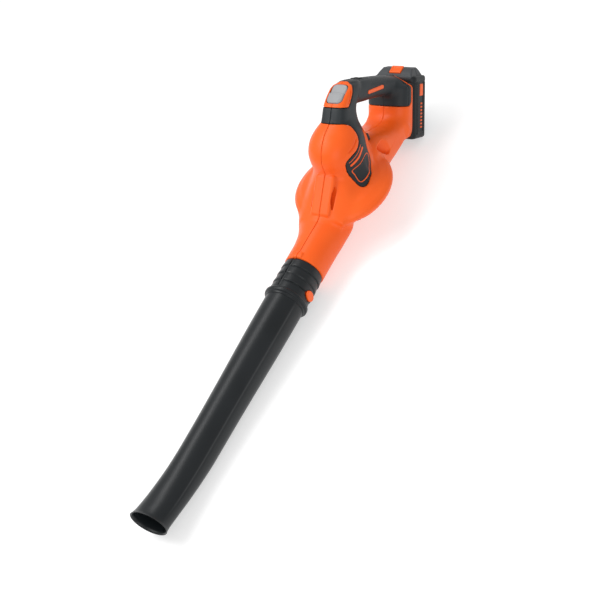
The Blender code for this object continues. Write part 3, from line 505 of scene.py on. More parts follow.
def line_from(a, c, route):
    """Distance to a line of straight runs in one plane."""
    nearest = []
    for start, end in zip(route, route[1:]):
        p, q = np.array(start, float), np.array(end, float)
        d = q - p
        t = np.clip(((a - p[0]) * d[0] + (c - p[1]) * d[1]) / (d @ d), 0.0, 1.0)
        nearest.append(np.hypot(a - p[0] - t * d[0], c - p[1] - t * d[1]))
    return np.minimum.reduce(nearest)


def outline_field(a, c, outline):
    """Signed distance to a closed outline of (a, c) points, negative inside."""
    points = np.asarray(outline, float)
    best = np.full(np.broadcast(a, c).shape, 1e9, np.float32)
    inside = np.zeros(best.shape, bool)
    for (pa, pc), (qa, qc) in zip(points, np.roll(points, -1, axis=0)):
        da, dc = qa - pa, qc - pc
        t = np.clip(((a - pa) * da + (c - pc) * dc) / (da * da + dc * dc), 0.0, 1.0)
        best = np.minimum(best, (a - pa - t * da) ** 2 + (c - pc - t * dc) ** 2)
        crosses = (pc > c) != (qc > c)
        if dc != 0:
            inside ^= crosses & (a < pa + (c - pc) * da / dc)
    return np.where(inside, -np.sqrt(best), np.sqrt(best)).astype(np.float32)


def rounded_line(points, closed=True, per_span=6):
    """A smooth curve through given points, as a list of many points."""
    ring = [Vector(p) for p in points]
    count = len(ring)
    smooth = []
    for i in range(count if closed else count - 1):
        if closed:
            p0, p1, p2, p3 = (ring[(i + k) % count] for k in (-1, 0, 1, 2))
        else:
            p0, p1, p2, p3 = (ring[min(max(i + k, 0), count - 1)] for k in (-1, 0, 1, 2))
        for step in range(per_span):
            t = step / per_span
            square = (2 * p0 - 5 * p1 + 4 * p2 - p3) * t * t
            cube = (3 * p1 - p0 - 3 * p2 + p3) * t ** 3
            smooth.append(tuple(0.5 * (2 * p1 + (p2 - p0) * t + square + cube)))
    if not closed:
        smooth.append(tuple(ring[-1]))
    return smooth


def to_distance(field, step):
    """Scales a field so that it grows by about 1 per millimetre."""
    steep = np.sqrt(sum(part * part for part in np.gradient(field, step)))
    return field / np.clip(steep, 0.35, 2.5)


def link_mesh(name, points, faces):
    mesh = bpy.data.meshes.new(name)
    mesh.from_pydata(points, [], faces)
    mesh.update()
    piece = bpy.data.objects.new(name, mesh)
    bpy.context.scene.collection.objects.link(piece)
    return piece


def skin(name, field, space, ranges=None):
    """The mesh where the field is 0, in world metres."""
    low = np.array(space.low, float)
    if ranges:
        field = field[ranges]
        low = low + np.array([r.start for r in ranges]) * space.step
    reach = 3.0 * space.step
    block = np.clip(field, -reach, reach).astype(np.float32)
    for axis in range(3):
        edge = [slice(None)] * 3
        for side in (0, -1):
            edge[axis] = side
            block[tuple(edge)] = np.maximum(block[tuple(edge)], 0.3 * space.step)
    grid = openvdb.FloatGrid(reach)
    grid.copyFromArray(block)
    points, quads = grid.convertToQuads()
    points = points * space.step + low
    matrix = np.array(TO_WORLD @ space.axes)
    world = points @ matrix[:3, :3].T + matrix[:3, 3]
    mesh = bpy.data.meshes.new(name)
    mesh.vertices.add(len(world))
    mesh.vertices.foreach_set("co", world.astype(np.float32).ravel())
    mesh.loops.add(len(quads) * 4)
    if space.axes.determinant() > 0:
        quads = quads[:, ::-1]
    mesh.loops.foreach_set("vertex_index", quads.astype(np.int32).ravel())
    mesh.polygons.add(len(quads))
    mesh.polygons.foreach_set("loop_start", np.arange(0, len(quads) * 4, 4, dtype=np.int32))
    mesh.update(calc_edges=True)
    mesh.validate()
    mesh.shade_smooth()
    piece = bpy.data.objects.new(name, mesh)
    bpy.context.scene.collection.objects.link(piece)
    return piece, points


def finish_piece(piece, body, slot, paint, *nodes):
    """Gives a piece its material and its body, and hides the CAD nodes that it stands for. The slot is not used.
    """
    piece.data.materials.append(paint)
    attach(piece, body)
    if nodes:
        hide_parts(*nodes)
    return piece


# --- The moulded body -----------------------------------------------------------------------

SCROLL_EDGE = [  # radius and z
    (0, 20), (44, 18), (64, 11), (74.5, 4.5), (78, 0.8), (78, -2), (75.5, -6.5),
    (73, -9), (0, -9)]
TOWER = [  # z, centre x, half length, half width, shift
    (-8, -8, 70, 62, 0), (8, -14, 58, 52, 0), (20, -20, 51, 46.5, 0), (32, -24, 47.5, 44, 0),
    (44, -25, 48, 43.5, 0), (60, -25, 49.5, 43.5, 0), (72, -25.5, 48.5, 42.5, 0),
    (84, -26.5, 43.5, 38.5, 0), (94, -28, 35, 31, 0), (101, -29.5, 25, 22, 0),
    (106, -30.5, 12, 10, 0), (107.5, -31, 3, 3, 0)]
DUCT = [  # x, centre z, half height, half width, shift
    (16, -2, 8, 58, 0), (40, -4, 9, 55, -8), (50, -12, 18, 51.5, -10.5),
    (62, -18.4, 29.5, 49, -9.5), (78, -20, 32, 44, -7), (95, TUBE_Z, DUCT_R, 38.5, -3.5),
    (112, TUBE_Z, DUCT_R, 34.8, -1.2),
    (134, TUBE_Z, DUCT_R, DUCT_R, 0), (DUCT_END, TUBE_Z, DUCT_R, DUCT_R, 0)]
NECK = [  # x, centre z, height of the crown, half width, shift
    (-12, 0, 52, 50, 0), (12, 0, 48, 50, 0), (27, 0, 45, 49, 0), (43, 0, 35.5, 48, 0),
    (63, 0, 23, 43, 0), (79, 0, 12, 40, 0)]
NECK_FLOOR = -4.0
ARM = [  # x, centre z, half height, half width, shift
    (-160, -20.5, 18.5, 37, 0), (-140, -20, 21.5, 37.5, 0), (-118, -15, 27, 38, 0),
    (-92, -7, 33.5, 39, 0), (-78, -4, 35, 40.5, 0), (-66, 2, 30, 42, 0), (-48, 6, 20, 44, 0)]
HANDLE = [  # n, centre u, half height, half width, shift
    (-4, 145, 17, 17, 0), (20, 147, 19, 18, 0), (45, 148.4, 19, 18.4, 0),
    (80, 149, 17.6, 18.4, 0), (110, 148.4, 17, 19, 0), (128, 147, 16.6, 20.5, 0),
    (150, 145, 16.2, 23, 0)]
PILLAR = [  # u, front n, rear n, half width
    (60, -44, 42, 34), (80, -43, 36, 31), (92, -41, 28, 27), (105, -38.5, 20, 23.5),
    (118, -36, 15.5, 22), (128, -33.5, 14.5, 21.5), (136, -29.5, 14.5, 21),
    (146, -21.6, 16, 20.5), (154, -13.8, 20, 19), (160, -5.3, 24, 16), (163.4, 4, 26, 12)]
SEAT = [  # u, front n, half width
    (62, 134, 35), (74, 129, 38), (80, 127, 38.5), (114, 126, 38.5), (142, 127, 38.3),
    (146, 128, 36.5), (150, 130, 29), (154, 133, 20), (158, 137, 11), (161.5, 142, 4)]
SEAT_REAR_N = 156.5
RIM_N = 151.5                   # where the seat's orange rim starts
BULGE_SLIT = [(-29.5, 80.5), (-16.0, 77.6), (-3.6, 75.9)]       # x, z
POCKET_EDGE = [  # x, z
    (-66, 20), (-82, 20), (-100, 14), (-116, 8), (-121.5, 2), (-121, -5), (-114, -8.5),
    (-98, -8.5), (-84, -8)]
POCKET_FACE = 39.5
VENT_TEETH = 54
SLOT_N = (39.25, 12.0)          # the switch's slot: its middle and half its length
SLOT_FLOOR_U = 164.0
INLAY_AT = (71.0, 147.6)
INLAY_LENGTH = 48.0
INLAY_HEIGHT = 6.4
INLAY_SLOPE = math.radians(6.0)
PAD_TOP = (27.0, 54.0)          # where the pad's top face starts, x and z
PAD_FOOT = (79.0, 15.5)
PAD_HALF_WIDTH = 18.0


def scroll(s):
    """The round fan housing, turned from SCROLL_EDGE."""
    pitch = 0.5
    r = np.hypot(s.x, s.y)
    radii = np.arange(0.0, 160.0, pitch)
    heights = s.z.ravel()
    table = outline_field(radii[:, None], heights[None, :], SCROLL_EDGE) - 4.0
    place = np.clip(r[:, :, 0] / pitch, 0, len(radii) - 2)
    first = place.astype(int)
    share = (place - first)[:, :, None].astype(np.float32)
    return table[first] * (1 - share) + table[first + 1] * share


def tower(s):
    return stack(s.z, s.x, s.y, TOWER, 2.15)


def duct(s):
    return stack(s.x, s.z, s.y, DUCT, 2.0, 1.5)


def neck(s):
    """The saddle between the motor housing and the duct, cut off flat below."""
    return smax(stack(s.x, s.z, s.y, NECK, 2.0, 4.0), NECK_FLOOR - s.z, 2.0)


def arm(s):
    return stack(s.x, s.z, s.y, ARM, 3.4, 4.0)


def handle(s):
    return stack(s.n, s.u, s.y, HANDLE, 2.4, 6.0)


def pillar(s):
    rows = [(u, (front + rear) / 2, (rear - front) / 2, wide, 0) for u, front, rear, wide in PILLAR]
    return stack(s.u, s.n, s.y, rows, 3.6, 5.0)


def seat(s):
    """Flat at the back, round towards the handle."""
    places = [row[0] for row in SEAT]
    front = curve_through(s.u, places, [row[1] for row in SEAT])
    wide = curve_through(s.u, places, [row[2] for row in SEAT])
    middle = SEAT_REAR_N - 9.0
    long = s.n - middle
    nose = oval(np.minimum(long, 0.0), s.y, middle - front, wide, 2.4)
    tail = smax(np.abs(s.y) - wide, long - 9.0, 3.0)
    side = np.where(long < 0, nose, tail)
    ends = np.maximum(places[0] - s.u, s.u - places[-1])
    return smax(side, ends, 2.0)


def pad_axes(s):
    """Coordinates of the raised pad: along its slope, and out of its face."""
    run, drop = PAD_FOOT[0] - PAD_TOP[0], PAD_TOP[1] - PAD_FOOT[1]
    length = math.hypot(run, drop)
    along = ((s.x - PAD_TOP[0]) * run - (s.z - PAD_TOP[1]) * drop) / length
    out = ((s.x - PAD_TOP[0]) * drop + (s.z - PAD_TOP[1]) * run) / length
    return along, out, length


def pad(s):
    along, out, length = pad_axes(s)
    half = length / 2
    return slab((along - half + 1.0, s.y, out + 14.0), (half + 1.0, PAD_HALF_WIDTH, 14.0), 5.0)


def pad_vents(s):
    """A lens-shaped hollow in each side of the pad."""
    along, out, length = pad_axes(s)
    lens = oval(along - length * 0.52, out + 6.5, 19.0, 4.6, 1.6)
    deep = np.abs(np.abs(s.y) - PAD_HALF_WIDTH + 3.0) - 5.0
    return smax(lens, deep, 1.0)


def throat_recess(s):
    """The hollow on the outlet's left, under the fan housing's rim."""
    return ball(s, (74.0, 60.0, -20.0), (26.0, 18.0, 18.0))


def arm_pocket(s):
    """The long pocket in each side of the arm, deep at the front end."""
    plan = outline_field(s.x, s.z, rounded_line(POCKET_EDGE))
    depth = 1.4 + 15.0 * np.clip((s.x + 98.0) / 24.0, 0.0, 1.0)
    return np.maximum(plan, POCKET_FACE - depth - np.abs(s.y))


def body_details(s, form):
    """The grooves, pockets and small bumps of the body's skin."""
    # The catch on top of the outlet's end, and the arm's pockets.
    rise = slab((s.x - 155.5, s.y, s.z - (TUBE_Z + DUCT_R)), (4.5, 8.0, 1.6), 1.5)
    form = smin(form, rise, 2.0)
    form = carve(form, arm_pocket(s), 1.0)
    # The slit behind the motor housing's front bulge.
    skin_only = -(form + 1.7)
    slit = line_from(s.x, s.z, BULGE_SLIT) - 0.9
    form = carve(form, np.maximum(slit, skin_only), 0.5)
    # The intake's teeth round the fan housing's lower edge.
    angle = np.arctan2(s.y, s.x)
    teeth = np.cos(angle * VENT_TEETH) * 2.0
    around = np.maximum(72.0 - np.hypot(s.x, s.y), np.abs(s.x + 8.0) - 38.0)
    vents = np.maximum(np.maximum(-teeth, around), s.z + 8.5)
    form = smax(form, -vents, 0.8)
    # The seat's upright creases, then the switch's well with a fine line round it.
    crease = np.maximum(np.maximum(np.abs(s.n - 143.0) - 0.9, 116.0 - s.u), 26.0 - np.abs(s.y))
    form = carve(form, np.maximum(crease, -(form + 1.2)), 0.5)
    well = slab((s.n - SLOT_N[0], s.y), (SLOT_N[1], 6.2), 2.5)
    form = carve(form, np.maximum(well, SLOT_FLOOR_U - s.u), 0.8)
    rim = np.abs(slab((s.n - SLOT_N[0] - 3.0, s.y), (SLOT_N[1] + 6.5, 10.0), 6.0)) - 0.6
    rim = np.maximum(np.maximum(rim, -(form + 0.7)), 150.0 - s.u)
    form = carve(form, rim, 0.4)
    seat_for_inlay = np.maximum(inlay_plan(s) - 1.2, -(form + 0.9))
    return carve(form, seat_for_inlay, 0.5)


def sloping(s, at, slope):
    """Coordinates along and across a slope through the point at, in n and u."""
    c, sn = math.cos(slope), math.sin(slope)
    n, u = s.n - at[0], s.u - at[1]
    return n * c + u * sn, -n * sn + u * c


def inlay_plan(s):
    """Distance to the outline of the strips in the handle's sides."""
    along, across = sloping(s, INLAY_AT, INLAY_SLOPE)
    return slab((along, across), (INLAY_LENGTH / 2, INLAY_HEIGHT / 2), INLAY_HEIGHT / 2 - 0.1)


def body_form(s):
    """Distance to the outer skin of the whole body, before its grooves and pockets."""
    form = smin(tower(s), neck(s), 16.0)
    form = smin(form, scroll(s), 6.0)
    form = smin(form, duct(s), 9.0)
    form = carve(form, throat_recess(s), 3.0)
    form = smin(form, pad(s), 1.5)
    form = carve(form, pad_vents(s), 1.2)
    form = smin(form, arm(s), 6.0)
    return with_handle(s, form)


def with_handle(s, form):
    """form with the post, the grip bar and the battery seat grown out of it."""
    form = smin(form, pillar(s), 7.0)
    loop = smin(handle(s), seat(s), 8.0)
    return smin(form, loop, 11.0)


def upper_form(s):
    """The body's skin near the handle, where the fan housing is too far away to matter."""
    return with_handle(s, tower(s))


# Lines on the body's side where one moulding ends and the next begins, in n and u.
LEAF_EDGE = [
    (34, 96), (16, 92.5), (7.5, 88), (4.5, 78), (5.5, 66), (12.5, 52), (13, 42), (7, 31),
    (-5, 19.5), (-16, 10.2), (-22.5, 7.8), (-26.8, 12.5), (-33.5, 24.5), (-39, 34.5), (-44, 43.8),
    (-43.3, 50.5), (-36, 58.5), (-27.5, 65.5), (-21.5, 74.5), (-19.5, 84), (-20.5, 93.5),
    (-23, 101.5), (-31, 104.5)]
GRIP_EDGE = [
    (-60, 104.5), (-60, 128.5), (-17, 128.5), (-12, 134), (-2, 155), (10, 172), (RIM_N, 172),
    (RIM_N, 121), (145, 114), (40, 114)] + rounded_line(LEAF_EDGE, False, 4)
BEZEL_EDGE = [(-60, 129), (-17.5, 129), (-12.5, 134.5), (-2.5, 155.5), (9.5, 172), (-60, 172)]
BUTTON_AT = (-17.0, 149.0)
BUTTON_SLOPE = math.radians(41.0)
BUTTON_SIZE = (36.0, 28.0)
BUTTON_RISE = 0.7
BEZEL_SLIT = [(-16.0, 134.5), (-11.5, 144.0), (-7.2, 153.0)]    # n, u
SLIDER_N = 36.0
SLIDER_TOP_U = 169.0
RIB_PITCH = 2.0
LEAF_LINE = [(4.5, 46), (6.0, 38), (8.5, 27), (4, 23.4), (-10, 22.8), (-24, 25), (-33, 32),
             (-37, 42), (-30, 47), (-12, 45.5)]                 # x, z
LEAF_STRIPES = [  # x and z of each stripe's route, and half its width
    ([(2.4, 55.0), (-14.0, 56.2), (-30.0, 61.5)], 2.1),
    ([(4.0, 61.5), (-14.0, 63.5), (-30.0, 68.0)], 0.7)]


def button_plan(s, grow):
    """Distance to the boost button's outline, and the coordinates along and out of its face."""
    along, out = sloping(s, BUTTON_AT, BUTTON_SLOPE)
    flat = slab((along, s.y), (BUTTON_SIZE[0] / 2 + grow, BUTTON_SIZE[1] / 2 + grow), 8.0)
    return flat, along, out


def make_body(paints):
    """The two housings and the two grip mouldings, one of each for a side."""
    s = Space((-228, -84, -57), (216, 84, 134), STEP)
    form = body_details(s, to_distance(body_form(s), STEP))
    round_r = np.hypot(s.y, s.z - TUBE_Z)
    spigot = smax(round_r - SPIGOT_R, np.maximum(s.x - SPIGOT_END, 150.0 - s.x), 1.0)
    form = np.minimum(form, spigot)
    bore = np.maximum(round_r - (SPIGOT_R - WALL), 120.0 - s.x)
    hollow = np.minimum(form + WALL, bore)
    shell = smax(form, -hollow, 0.6)
    del hollow, bore
    # The battery's slide runs in a slot in the back of the seat.
    slot = np.maximum(slab((s.n - 160.0, s.y), (14.0, 29.5), 1.0), 82.0 - s.u)
    shell = np.maximum(shell, -slot)
    dark = outline_field(s.n, s.u, GRIP_EDGE)
    bezel = outline_field(s.n, s.u, BEZEL_EDGE)
    # The halves overlap on the seat's front, where their joint would show in the hand window.
    joined = (s.n > 100.0) & (s.n < 140.0) & (s.u < 146.0)
    seam = np.where(joined, -2.2, SEAM)
    # On the right, the dark panel below z 70 ends at x -9, behind the outlet's swelling.
    for word, side in SIDES:
        half = np.maximum(shell, seam - side * s.y)
        low, high = sorted((-side, side * 86.0))
        keep = s.crop((-230, low, -60), (218, high, 136))
        grip = smax(half, np.maximum(dark, -bezel) + GAP, 0.8)
        if side < 0:
            grip = smax(grip, np.where(s.z < 70.0, s.x + 9.0, -9.0), 2.0)
        tab = slab((s.x + 78.0, s.y - side * 19.0, s.z - 35.0), (3.5, 3.5, 6.5), 1.5)
        piece, points = skin("grip_moulding_" + word, np.minimum(grip, tab), s, keep)
        mark_stipple(piece, points)
        finish_piece(piece, "body", "dark_grip", paints["dark_grip"], "grip_" + word)
        cover = np.minimum(dark, bezel)
        if side < 0:
            cover = smax(cover, np.where(s.z < 70.0, s.x + 8.5, -9.0), 2.0)
        rest = smax(half, -cover + GAP, 0.8)
        piece, _ = skin("shell_" + word, rest, s, keep)
        finish_piece(piece, "body", "orange_shell", paints["orange_shell"], "housing_" + word)


def mark_stipple(piece, points):
    """Marks the top of the handle, where the soft moulding is dotted."""
    n = -points[:, 0] * COS_LEAN - points[:, 2] * SIN_LEAN
    u = -points[:, 0] * SIN_LEAN + points[:, 2] * COS_LEAN
    share = np.clip((n - 57.0) / 3.0, 0.0, 1.0) * np.clip((122.0 - n) / 6.0, 0.0, 1.0)
    share *= np.clip((u - 153.5) / 1.5, 0.0, 1.0)
    mark = piece.data.attributes.new("stipple", "FLOAT", "POINT")
    mark.data.foreach_set("value", share.astype(np.float32))


def make_bezel(paints):
    """The orange ring round the boost button, with a slit in its left side."""
    s = GripSpace((-46, -24, 126), (12, 24, 167), 0.6)
    form = to_distance(upper_form(s), s.step)
    trim = smax(form, -(form + WALL), 0.5)
    bezel = outline_field(s.n, s.u, BEZEL_EDGE)
    trim = smax(trim, bezel + GAP, 0.7)
    hole, _, out = button_plan(s, 0.5)
    trim = carve(trim, np.maximum(hole - 0.3, -14.0 - out), 0.7)
    slit = line_from(s.n, s.u, BEZEL_SLIT) - 0.75
    slit = np.maximum(slit, -s.y)
    trim = carve(trim, np.maximum(slit, -(form + 1.8)), 0.3)
    seam = np.maximum(np.abs(s.y) - 0.3, -(form + 1.0))
    trim = smax(trim, -seam, 0.2)
    piece, _ = skin("button_bezel", trim, s)
    finish_piece(piece, "body", "orange_shell", paints["orange_shell"], "boost_bezel")


def make_button(paints):
    """The boost button: a flat lower half, and a thumb scoop behind a crisp edge above it."""
    s = GripSpace((-44, -17, 128), (8, 17, 170), 0.6)
    form = to_distance(upper_form(s), s.step)
    plan, along, out = button_plan(s, 0.0)
    start = np.clip((along + 0.5) / 1.4, 0.0, 1.0)
    dent = 2.4 * start * np.clip((16.5 - along) / 14.0, 0.0, 1.0)
    button = smax(form - BUTTON_RISE + dent, plan, 2.6)
    button = smax(button, -6.0 - out, 1.0)
    rim = np.abs(slab((along + 8.2, s.y), (6.3, 9.5), 3.0)) - 0.3
    button = carve(button, np.maximum(rim, BUTTON_RISE - 0.4 - form), 0.2)
    piece, _ = skin("thumb_button", button, s)
    finish_piece(piece, "boost", "grey_button", paints["grey_button"], "boost_button")


def make_slider(paints):
    """The power switch's button, ribbed across its top."""
    s = GripSpace((27, -8, 161), (46, 8, 172), 0.4)
    along = s.n - SLIDER_N
    top = SLIDER_TOP_U - 0.9 * (s.y / 5.5) ** 2 - 1.3 * np.exp(-(along / 3.0) ** 2)
    ribs = 0.35 * np.cos(math.tau * along / RIB_PITCH) * (np.abs(along) < 5.2)
    block = slab((along, s.y), (6.8, 5.2), 1.6)
    block = smax(block, np.maximum(s.u - top - ribs, SLOT_FLOOR_U + 0.3 - s.u), 0.8)
    piece, _ = skin("power_switch_button", block, s)
    finish_piece(piece, "power", "switch_body", paints["switch_body"], "power_slider")


def make_inlays(paints):
    """The orange strips let into the handle's sides."""
    for word, side in SIDES:
        low, high = sorted((side * 8.0, side * 24.0))
        s = GripSpace((42, low, 138), (100, high, 157), 0.6)
        form = to_distance(upper_form(s), s.step)
        strip = smax(inlay_plan(s), np.maximum(form - 0.35, -(form + 2.2)), 0.7)
        piece, _ = skin("handle_strip_" + word, strip, s)
        finish_piece(piece, "body", "orange_button", paints["orange_button"], "grip_inlay_" + word)


def make_leaf_trim(paints):
    """The orange line and stripes on each leaf-shaped panel."""
    for word, side in SIDES:
        low, high = sorted((side * 20.0, side * 56.0))
        s = Space((-48, low, 10), (16, high, 74), 0.6)
        form = to_distance(body_form(s), s.step)
        layer = np.maximum(form - 0.35, -(form + 0.9))
        ring = outline_field(s.x, s.z, rounded_line(LEAF_LINE))
        marks = np.abs(ring) - 0.75
        for route, half in LEAF_STRIPES:
            marks = np.minimum(marks, line_from(s.x, s.z, route) - half)
        if side < 0:
            layer = np.maximum(layer, s.x + 12.0)
        strip = smax(marks, layer, 0.3)
        piece, _ = skin("leaf_trim_" + word, strip, s)
        finish_piece(piece, "body", "orange_button", paints["orange_button"])


# --- Blow tube ------------------------------------------------------------------------------

TUBE = [  # x, centre z, half height, half width
    (222, TUBE_Z, 31.0, 31.0), (232, TUBE_Z, 31.2, 31.2), (450, TUBE_Z, 27.3, 27.3),
    (500, TUBE_Z + 0.3, 26.6, 27.0), (535, TUBE_Z + 2.2, 24.8, 27.2),
    (570, TUBE_Z + 6.6, 22.6, 28.0), (600, TUBE_Z + 12.0, 21.0, 28.8),
    (616, TUBE_Z + 15.4, 21.2, 29.2), (624, TUBE_Z + 17.2, 22.0, 30.2),
    (628, TUBE_Z + 18.1, 22.6, 30.8)]
BEND_X = 500.0                  # where the tube starts to turn up and flatten
MOUTH_X = 628.0
TUBE_WALL = 2.0
LOCK_AT = (204.0, TUBE_Z - 2.0)   # x, z
COLLAR_R = 33.0
COLLAR_BORE_R = 29.2
RING_PITCH = 14.4               # the collar has four slightly tapered rings
CREASE = math.radians(27.0)     # the moulded line along each side, above the tube's middle


def tube_ring(x, inset, sides, lip=0.0):
    """One ring of points round the tube at x, dented under the crease on the outside."""
    places = [row[0] for row in TUBE]
    at = np.array([x], float)
    centre, high, wide = (float(curve_through(at, places, [row[i] for row in TUBE])[0])
                          for i in (1, 2, 3))
    share = max(0.0, (x - BEND_X) / (MOUTH_X - BEND_X))
    fade = min(1.0, (x - 228.0) / 20.0) if inset == 0 else 0.0
    fade = max(0.0, fade) * max(0.0, min(1.0, (626.0 - x) / 60.0))
    ring = []
    for i in range(sides):
        angle = math.tau * i / sides
        from_side = math.atan2(math.sin(angle), abs(math.cos(angle)))
        below = (CREASE - from_side) / math.radians(60.0)
        dent = 1.1 * math.exp(-2.2 * below) * min(1.0, below / 0.05) if below > 0 else 0.0
        dent *= fade
        wide_here = wide - inset + lip - dent
        high_here = high - inset + lip - dent
        b = math.sin(angle) * high_here
        ring.append((x - 0.14 * share * b, math.cos(angle) * wide_here, centre + b))
    return ring


def make_tube(paints):
    """The barrel: rings out to the mouth, round its lip and back along the bore."""
    sides = 144
    outer_x = list(np.arange(TUBE[0][0], BEND_X, 6.0)) + list(np.arange(BEND_X, 624.0, 2.5))
    rings = [tube_ring(x, 0.0, sides) for x in outer_x]
    for turn in np.linspace(0.0, math.pi, 9):
        x = 626.0 + 1.9 * math.sin(turn)
        lip = 1.2 * math.sin(turn)
        inset = TUBE_WALL * (1 - math.cos(turn)) / 2
        rings.append(tube_ring(x, inset, sides, lip))
    rings += [tube_ring(x, TUBE_WALL, sides) for x in reversed(outer_x)]
    points = [p for ring in rings for p in ring]
    faces = []
    count = len(rings)
    for level in range(count):
        a, b = level * sides, ((level + 1) % count) * sides
        for i in range(sides):
            j = (i + 1) % sides
            faces.append((a + i, b + i, b + j, a + j))
    piece = link_mesh("tube_barrel", [TO_WORLD @ Vector(p) for p in points], faces)
    piece.data.shade_smooth()
    finish_piece(piece, "tube", "black_tube", paints["black_tube"], "blow_tube")


def make_collar(paints):
    """The ringed collar and its flange, with the lock button's hole and the slot on top."""
    s = Space((160, -38, TUBE_Z - 38), (230, 38, TUBE_Z + 38), 0.7)
    r = np.hypot(s.y, s.z - TUBE_Z)
    start = DUCT_END + 0.4
    within = (s.x - start) % RING_PITCH
    left = RING_PITCH - within
    taper = np.where(s.x < start + 4 * RING_PITCH, COLLAR_R - 0.10 * left, COLLAR_R)
    groove = 0.9 * np.exp(-(within / 0.9) ** 2) + 0.9 * np.exp(-(left / 0.9) ** 2)
    groove = np.where((s.x > start + 6) & (s.x < start + 54), groove, 0.0)
    tube = smax(r - (taper - groove), np.maximum(start - s.x, s.x - 221.0), 1.2)
    flange = smax(r - 35.7, np.abs(s.x - 222.4) - 3.4, 2.4)
    neck = smax(r - 32.6, np.abs(s.x - 226.0) - 3.6, 2.0)
    form = smin(smin(tube, flange, 1.5), neck, 1.5)
    slot = slab((s.x - 188.0, s.y + 4.0, s.z - (TUBE_Z + 33.0)), (27.0, 1.9, 3.0), 0.8)
    form = carve(form, slot, 0.6)
    hole = oval(s.x - LOCK_AT[0], s.z - LOCK_AT[1], 7.9, 10.9, 2.0)
    form = carve(form, np.maximum(hole, 20.0 - s.y), 0.8)
    form = smax(form, COLLAR_BORE_R - r, 0.6)
    piece, _ = skin("tube_collar", form, s)
    finish_piece(piece, "tube", "black_tube", paints["black_tube"], "blow_tube")
    button = oval(s.x - LOCK_AT[0], s.z - LOCK_AT[1], 7.4, 10.4, 2.0)
    button = smax(button, np.maximum(s.y - 35.0, 30.6 - s.y), 2.2)
    keep = s.crop((193, 28, TUBE_Z - 16), (215, 38, TUBE_Z + 12))
    piece, _ = skin("lock_button", button, s, keep)
    finish_piece(piece, "tube_lock", "orange_button", paints["orange_button"], "tube_lock_button")


# --- Battery --------------------------------------------------------------------------------

PACK_FRONT_N, PACK_REAR_N = 157.3, 201.4
PACK_BOTTOM_U, PACK_TOP_U = 56.1, 160.5
PACK_HALF_WIDTH = 39.9
PACK_GROOVES_N = (166.0, 170.0)
PANEL_N = 183.5
BADGE_U = 137.0
FIRST_BAR_U = 75.0
BAR_COUNT = 8
BAR_PITCH = 5.6
HEAD_EDGE = [(157.5, 156.5), (157.5, 160), (164, 167), (172, 172.9), (187, 173.2), (192, 168),
             (196, 160), (196, 156.5)]
RELEASE_AT = (167.8, 170.6)
RELEASE_SLOPE = math.radians(39.0)


def pack_plan(s):
    """Distance to the pack's section, round at its back corners."""
    middle, half = (PACK_FRONT_N + PACK_REAR_N) / 2, (PACK_REAR_N - PACK_FRONT_N) / 2
    return slab((s.n - middle, s.y), (half, PACK_HALF_WIDTH), 9.0)


def make_pack(paints):
    """The battery's case: grooved sides, a long panel in each, and the slide in front."""
    s = GripSpace((144, -42, 53), (204, 42, 160), 0.8)
    body = smax(pack_plan(s), np.maximum(PACK_BOTTOM_U - s.u, s.u - PACK_TOP_U), 6.0)
    slide = slab((s.n - 155.0, s.y, s.u - 117.8), (7.6, 27.8, 33.0), 1.5)
    form = np.minimum(body, slide)
    beside = PACK_HALF_WIDTH - np.abs(s.y)
    for n in PACK_GROOVES_N:
        groove = slab((s.n - n, beside, s.u - 108.0), (0.9, 1.3, 44.0), 0.6)
        form = carve(form, groove, 0.5)
    panel = slab((s.n - PANEL_N, beside, s.u - 109.0), (6.5, 1.3, 41.0), 0.9)
    form = carve(form, panel, 0.5)
    lip = np.abs(slab((s.n - PANEL_N, s.u - 109.0), (9.0, 43.5), 4.0)) - 0.6
    form = carve(form, np.maximum(lip, beside - 0.7), 0.3)
    band = np.maximum(np.abs(s.u - 150.5) - 0.7, -(pack_plan(s) + 0.9))
    form = carve(form, band, 0.4)
    back = slab((s.n - PACK_REAR_N, s.y, s.u - 104.0), (1.0, 24.0, 36.0), 0.8)
    form = carve(form, back, 0.5)
    piece, _ = skin("pack_case", form, s)
    finish_piece(piece, "battery", "battery_case", paints["battery_case"], "battery_case")
    for word, side in SIDES:
        face = side * (PACK_HALF_WIDTH - 1.1)
        marks = slab((s.n - PANEL_N, s.y - face, s.u - BADGE_U), (5.2, 0.8, 10.0), 0.7)
        for index in range(BAR_COUNT):
            up = s.u - (FIRST_BAR_U + BAR_PITCH * index)
            bar = slab((s.n - PANEL_N - 0.8, s.y - face, up), (3.2, 0.6, BAR_PITCH * 0.28), 0.5)
            marks = np.minimum(marks, bar)
        piece, _ = skin("pack_badge_" + word, marks, s)
        finish_piece(piece, "battery", "orange_button", paints["orange_button"])


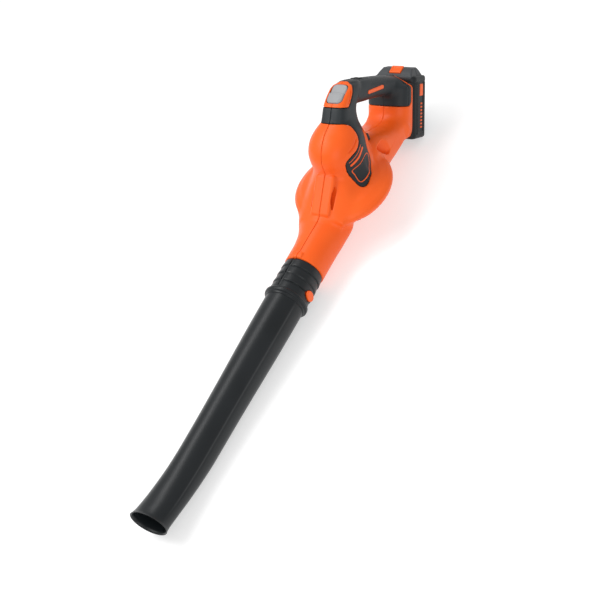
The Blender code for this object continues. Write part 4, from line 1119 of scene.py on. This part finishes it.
def make_slide_cap(paints):
    """The top of the pack's slide, which closes the seat's slot and carries its rim across."""
    s = GripSpace((145, -31, 144), (159, 31, 167), 0.6)
    form = to_distance(upper_form(s), s.step)
    cap = smax(form, slab((s.n - 152.0, s.y), (4.5, 28.9), 0.8), 0.5)
    cap = np.maximum(cap, 146.0 - s.u)
    piece, _ = skin("slide_cap", smax(cap, s.n - RIM_N + GAP, 0.5), s)
    finish_piece(piece, "battery", "dark_grip", paints["dark_grip"])
    piece, _ = skin("slide_cap_rim", smax(cap, RIM_N + GAP - s.n, 0.5), s)
    finish_piece(piece, "battery", "orange_shell", paints["orange_shell"])


def make_pack_head(paints):
    """The pack's grey cover with sloping faces, and the release button in its front slope."""
    s = GripSpace((145, -38, 153), (204, 38, 176), 0.7)
    profile = outline_field(s.n, s.u, HEAD_EDGE)
    wide = 33.5 - 0.45 * np.clip(s.u - 160.0, 0.0, 20.0)
    form = smax(profile, np.abs(s.y) - wide, 2.4)
    nose = slab((s.n - 159.8, s.y, s.u - 158.8), (3.0, 28.0, 2.0), 0.8)
    form = smin(form, nose, 1.0)
    line = np.maximum(np.abs(s.n - 178.5) - 0.5, -(form + 0.8))
    form = carve(form, line, 0.4)
    along, out = sloping(s, RELEASE_AT, RELEASE_SLOPE)
    well = slab((along, s.y), (8.5, 11.5), 1.6)
    form = carve(form, np.maximum(well, -7.0 - out), 0.5)
    piece, _ = skin("pack_head", form, s)
    finish_piece(piece, "battery", "battery_head", paints["battery_head"], "battery_head")
    button = slab((along, s.y, out + 1.1), (7.9, 10.9, 1.9), 1.0)
    dish = slab((along - 0.4, s.y, out - 0.8), (4.9, 7.6, 0.9), 0.7)
    button = carve(button, dish, 0.4)
    piece, _ = skin("pack_release", button, s)
    finish_piece(piece, "battery_release", "orange_button", paints["orange_button"],
                 "battery_release_button")


# --- The whole model ------------------------------------------------------------------------

def main():
    make_camera()
    make_studio()
    paints = make_paints()
    paint_frame(paints)
    make_body(paints)
    make_bezel(paints)
    make_button(paints)
    make_slider(paints)
    make_inlays(paints)
    make_leaf_trim(paints)
    make_pack(paints)
    make_slide_cap(paints)
    make_pack_head(paints)
    make_tube(paints)
    make_collar(paints)


main()
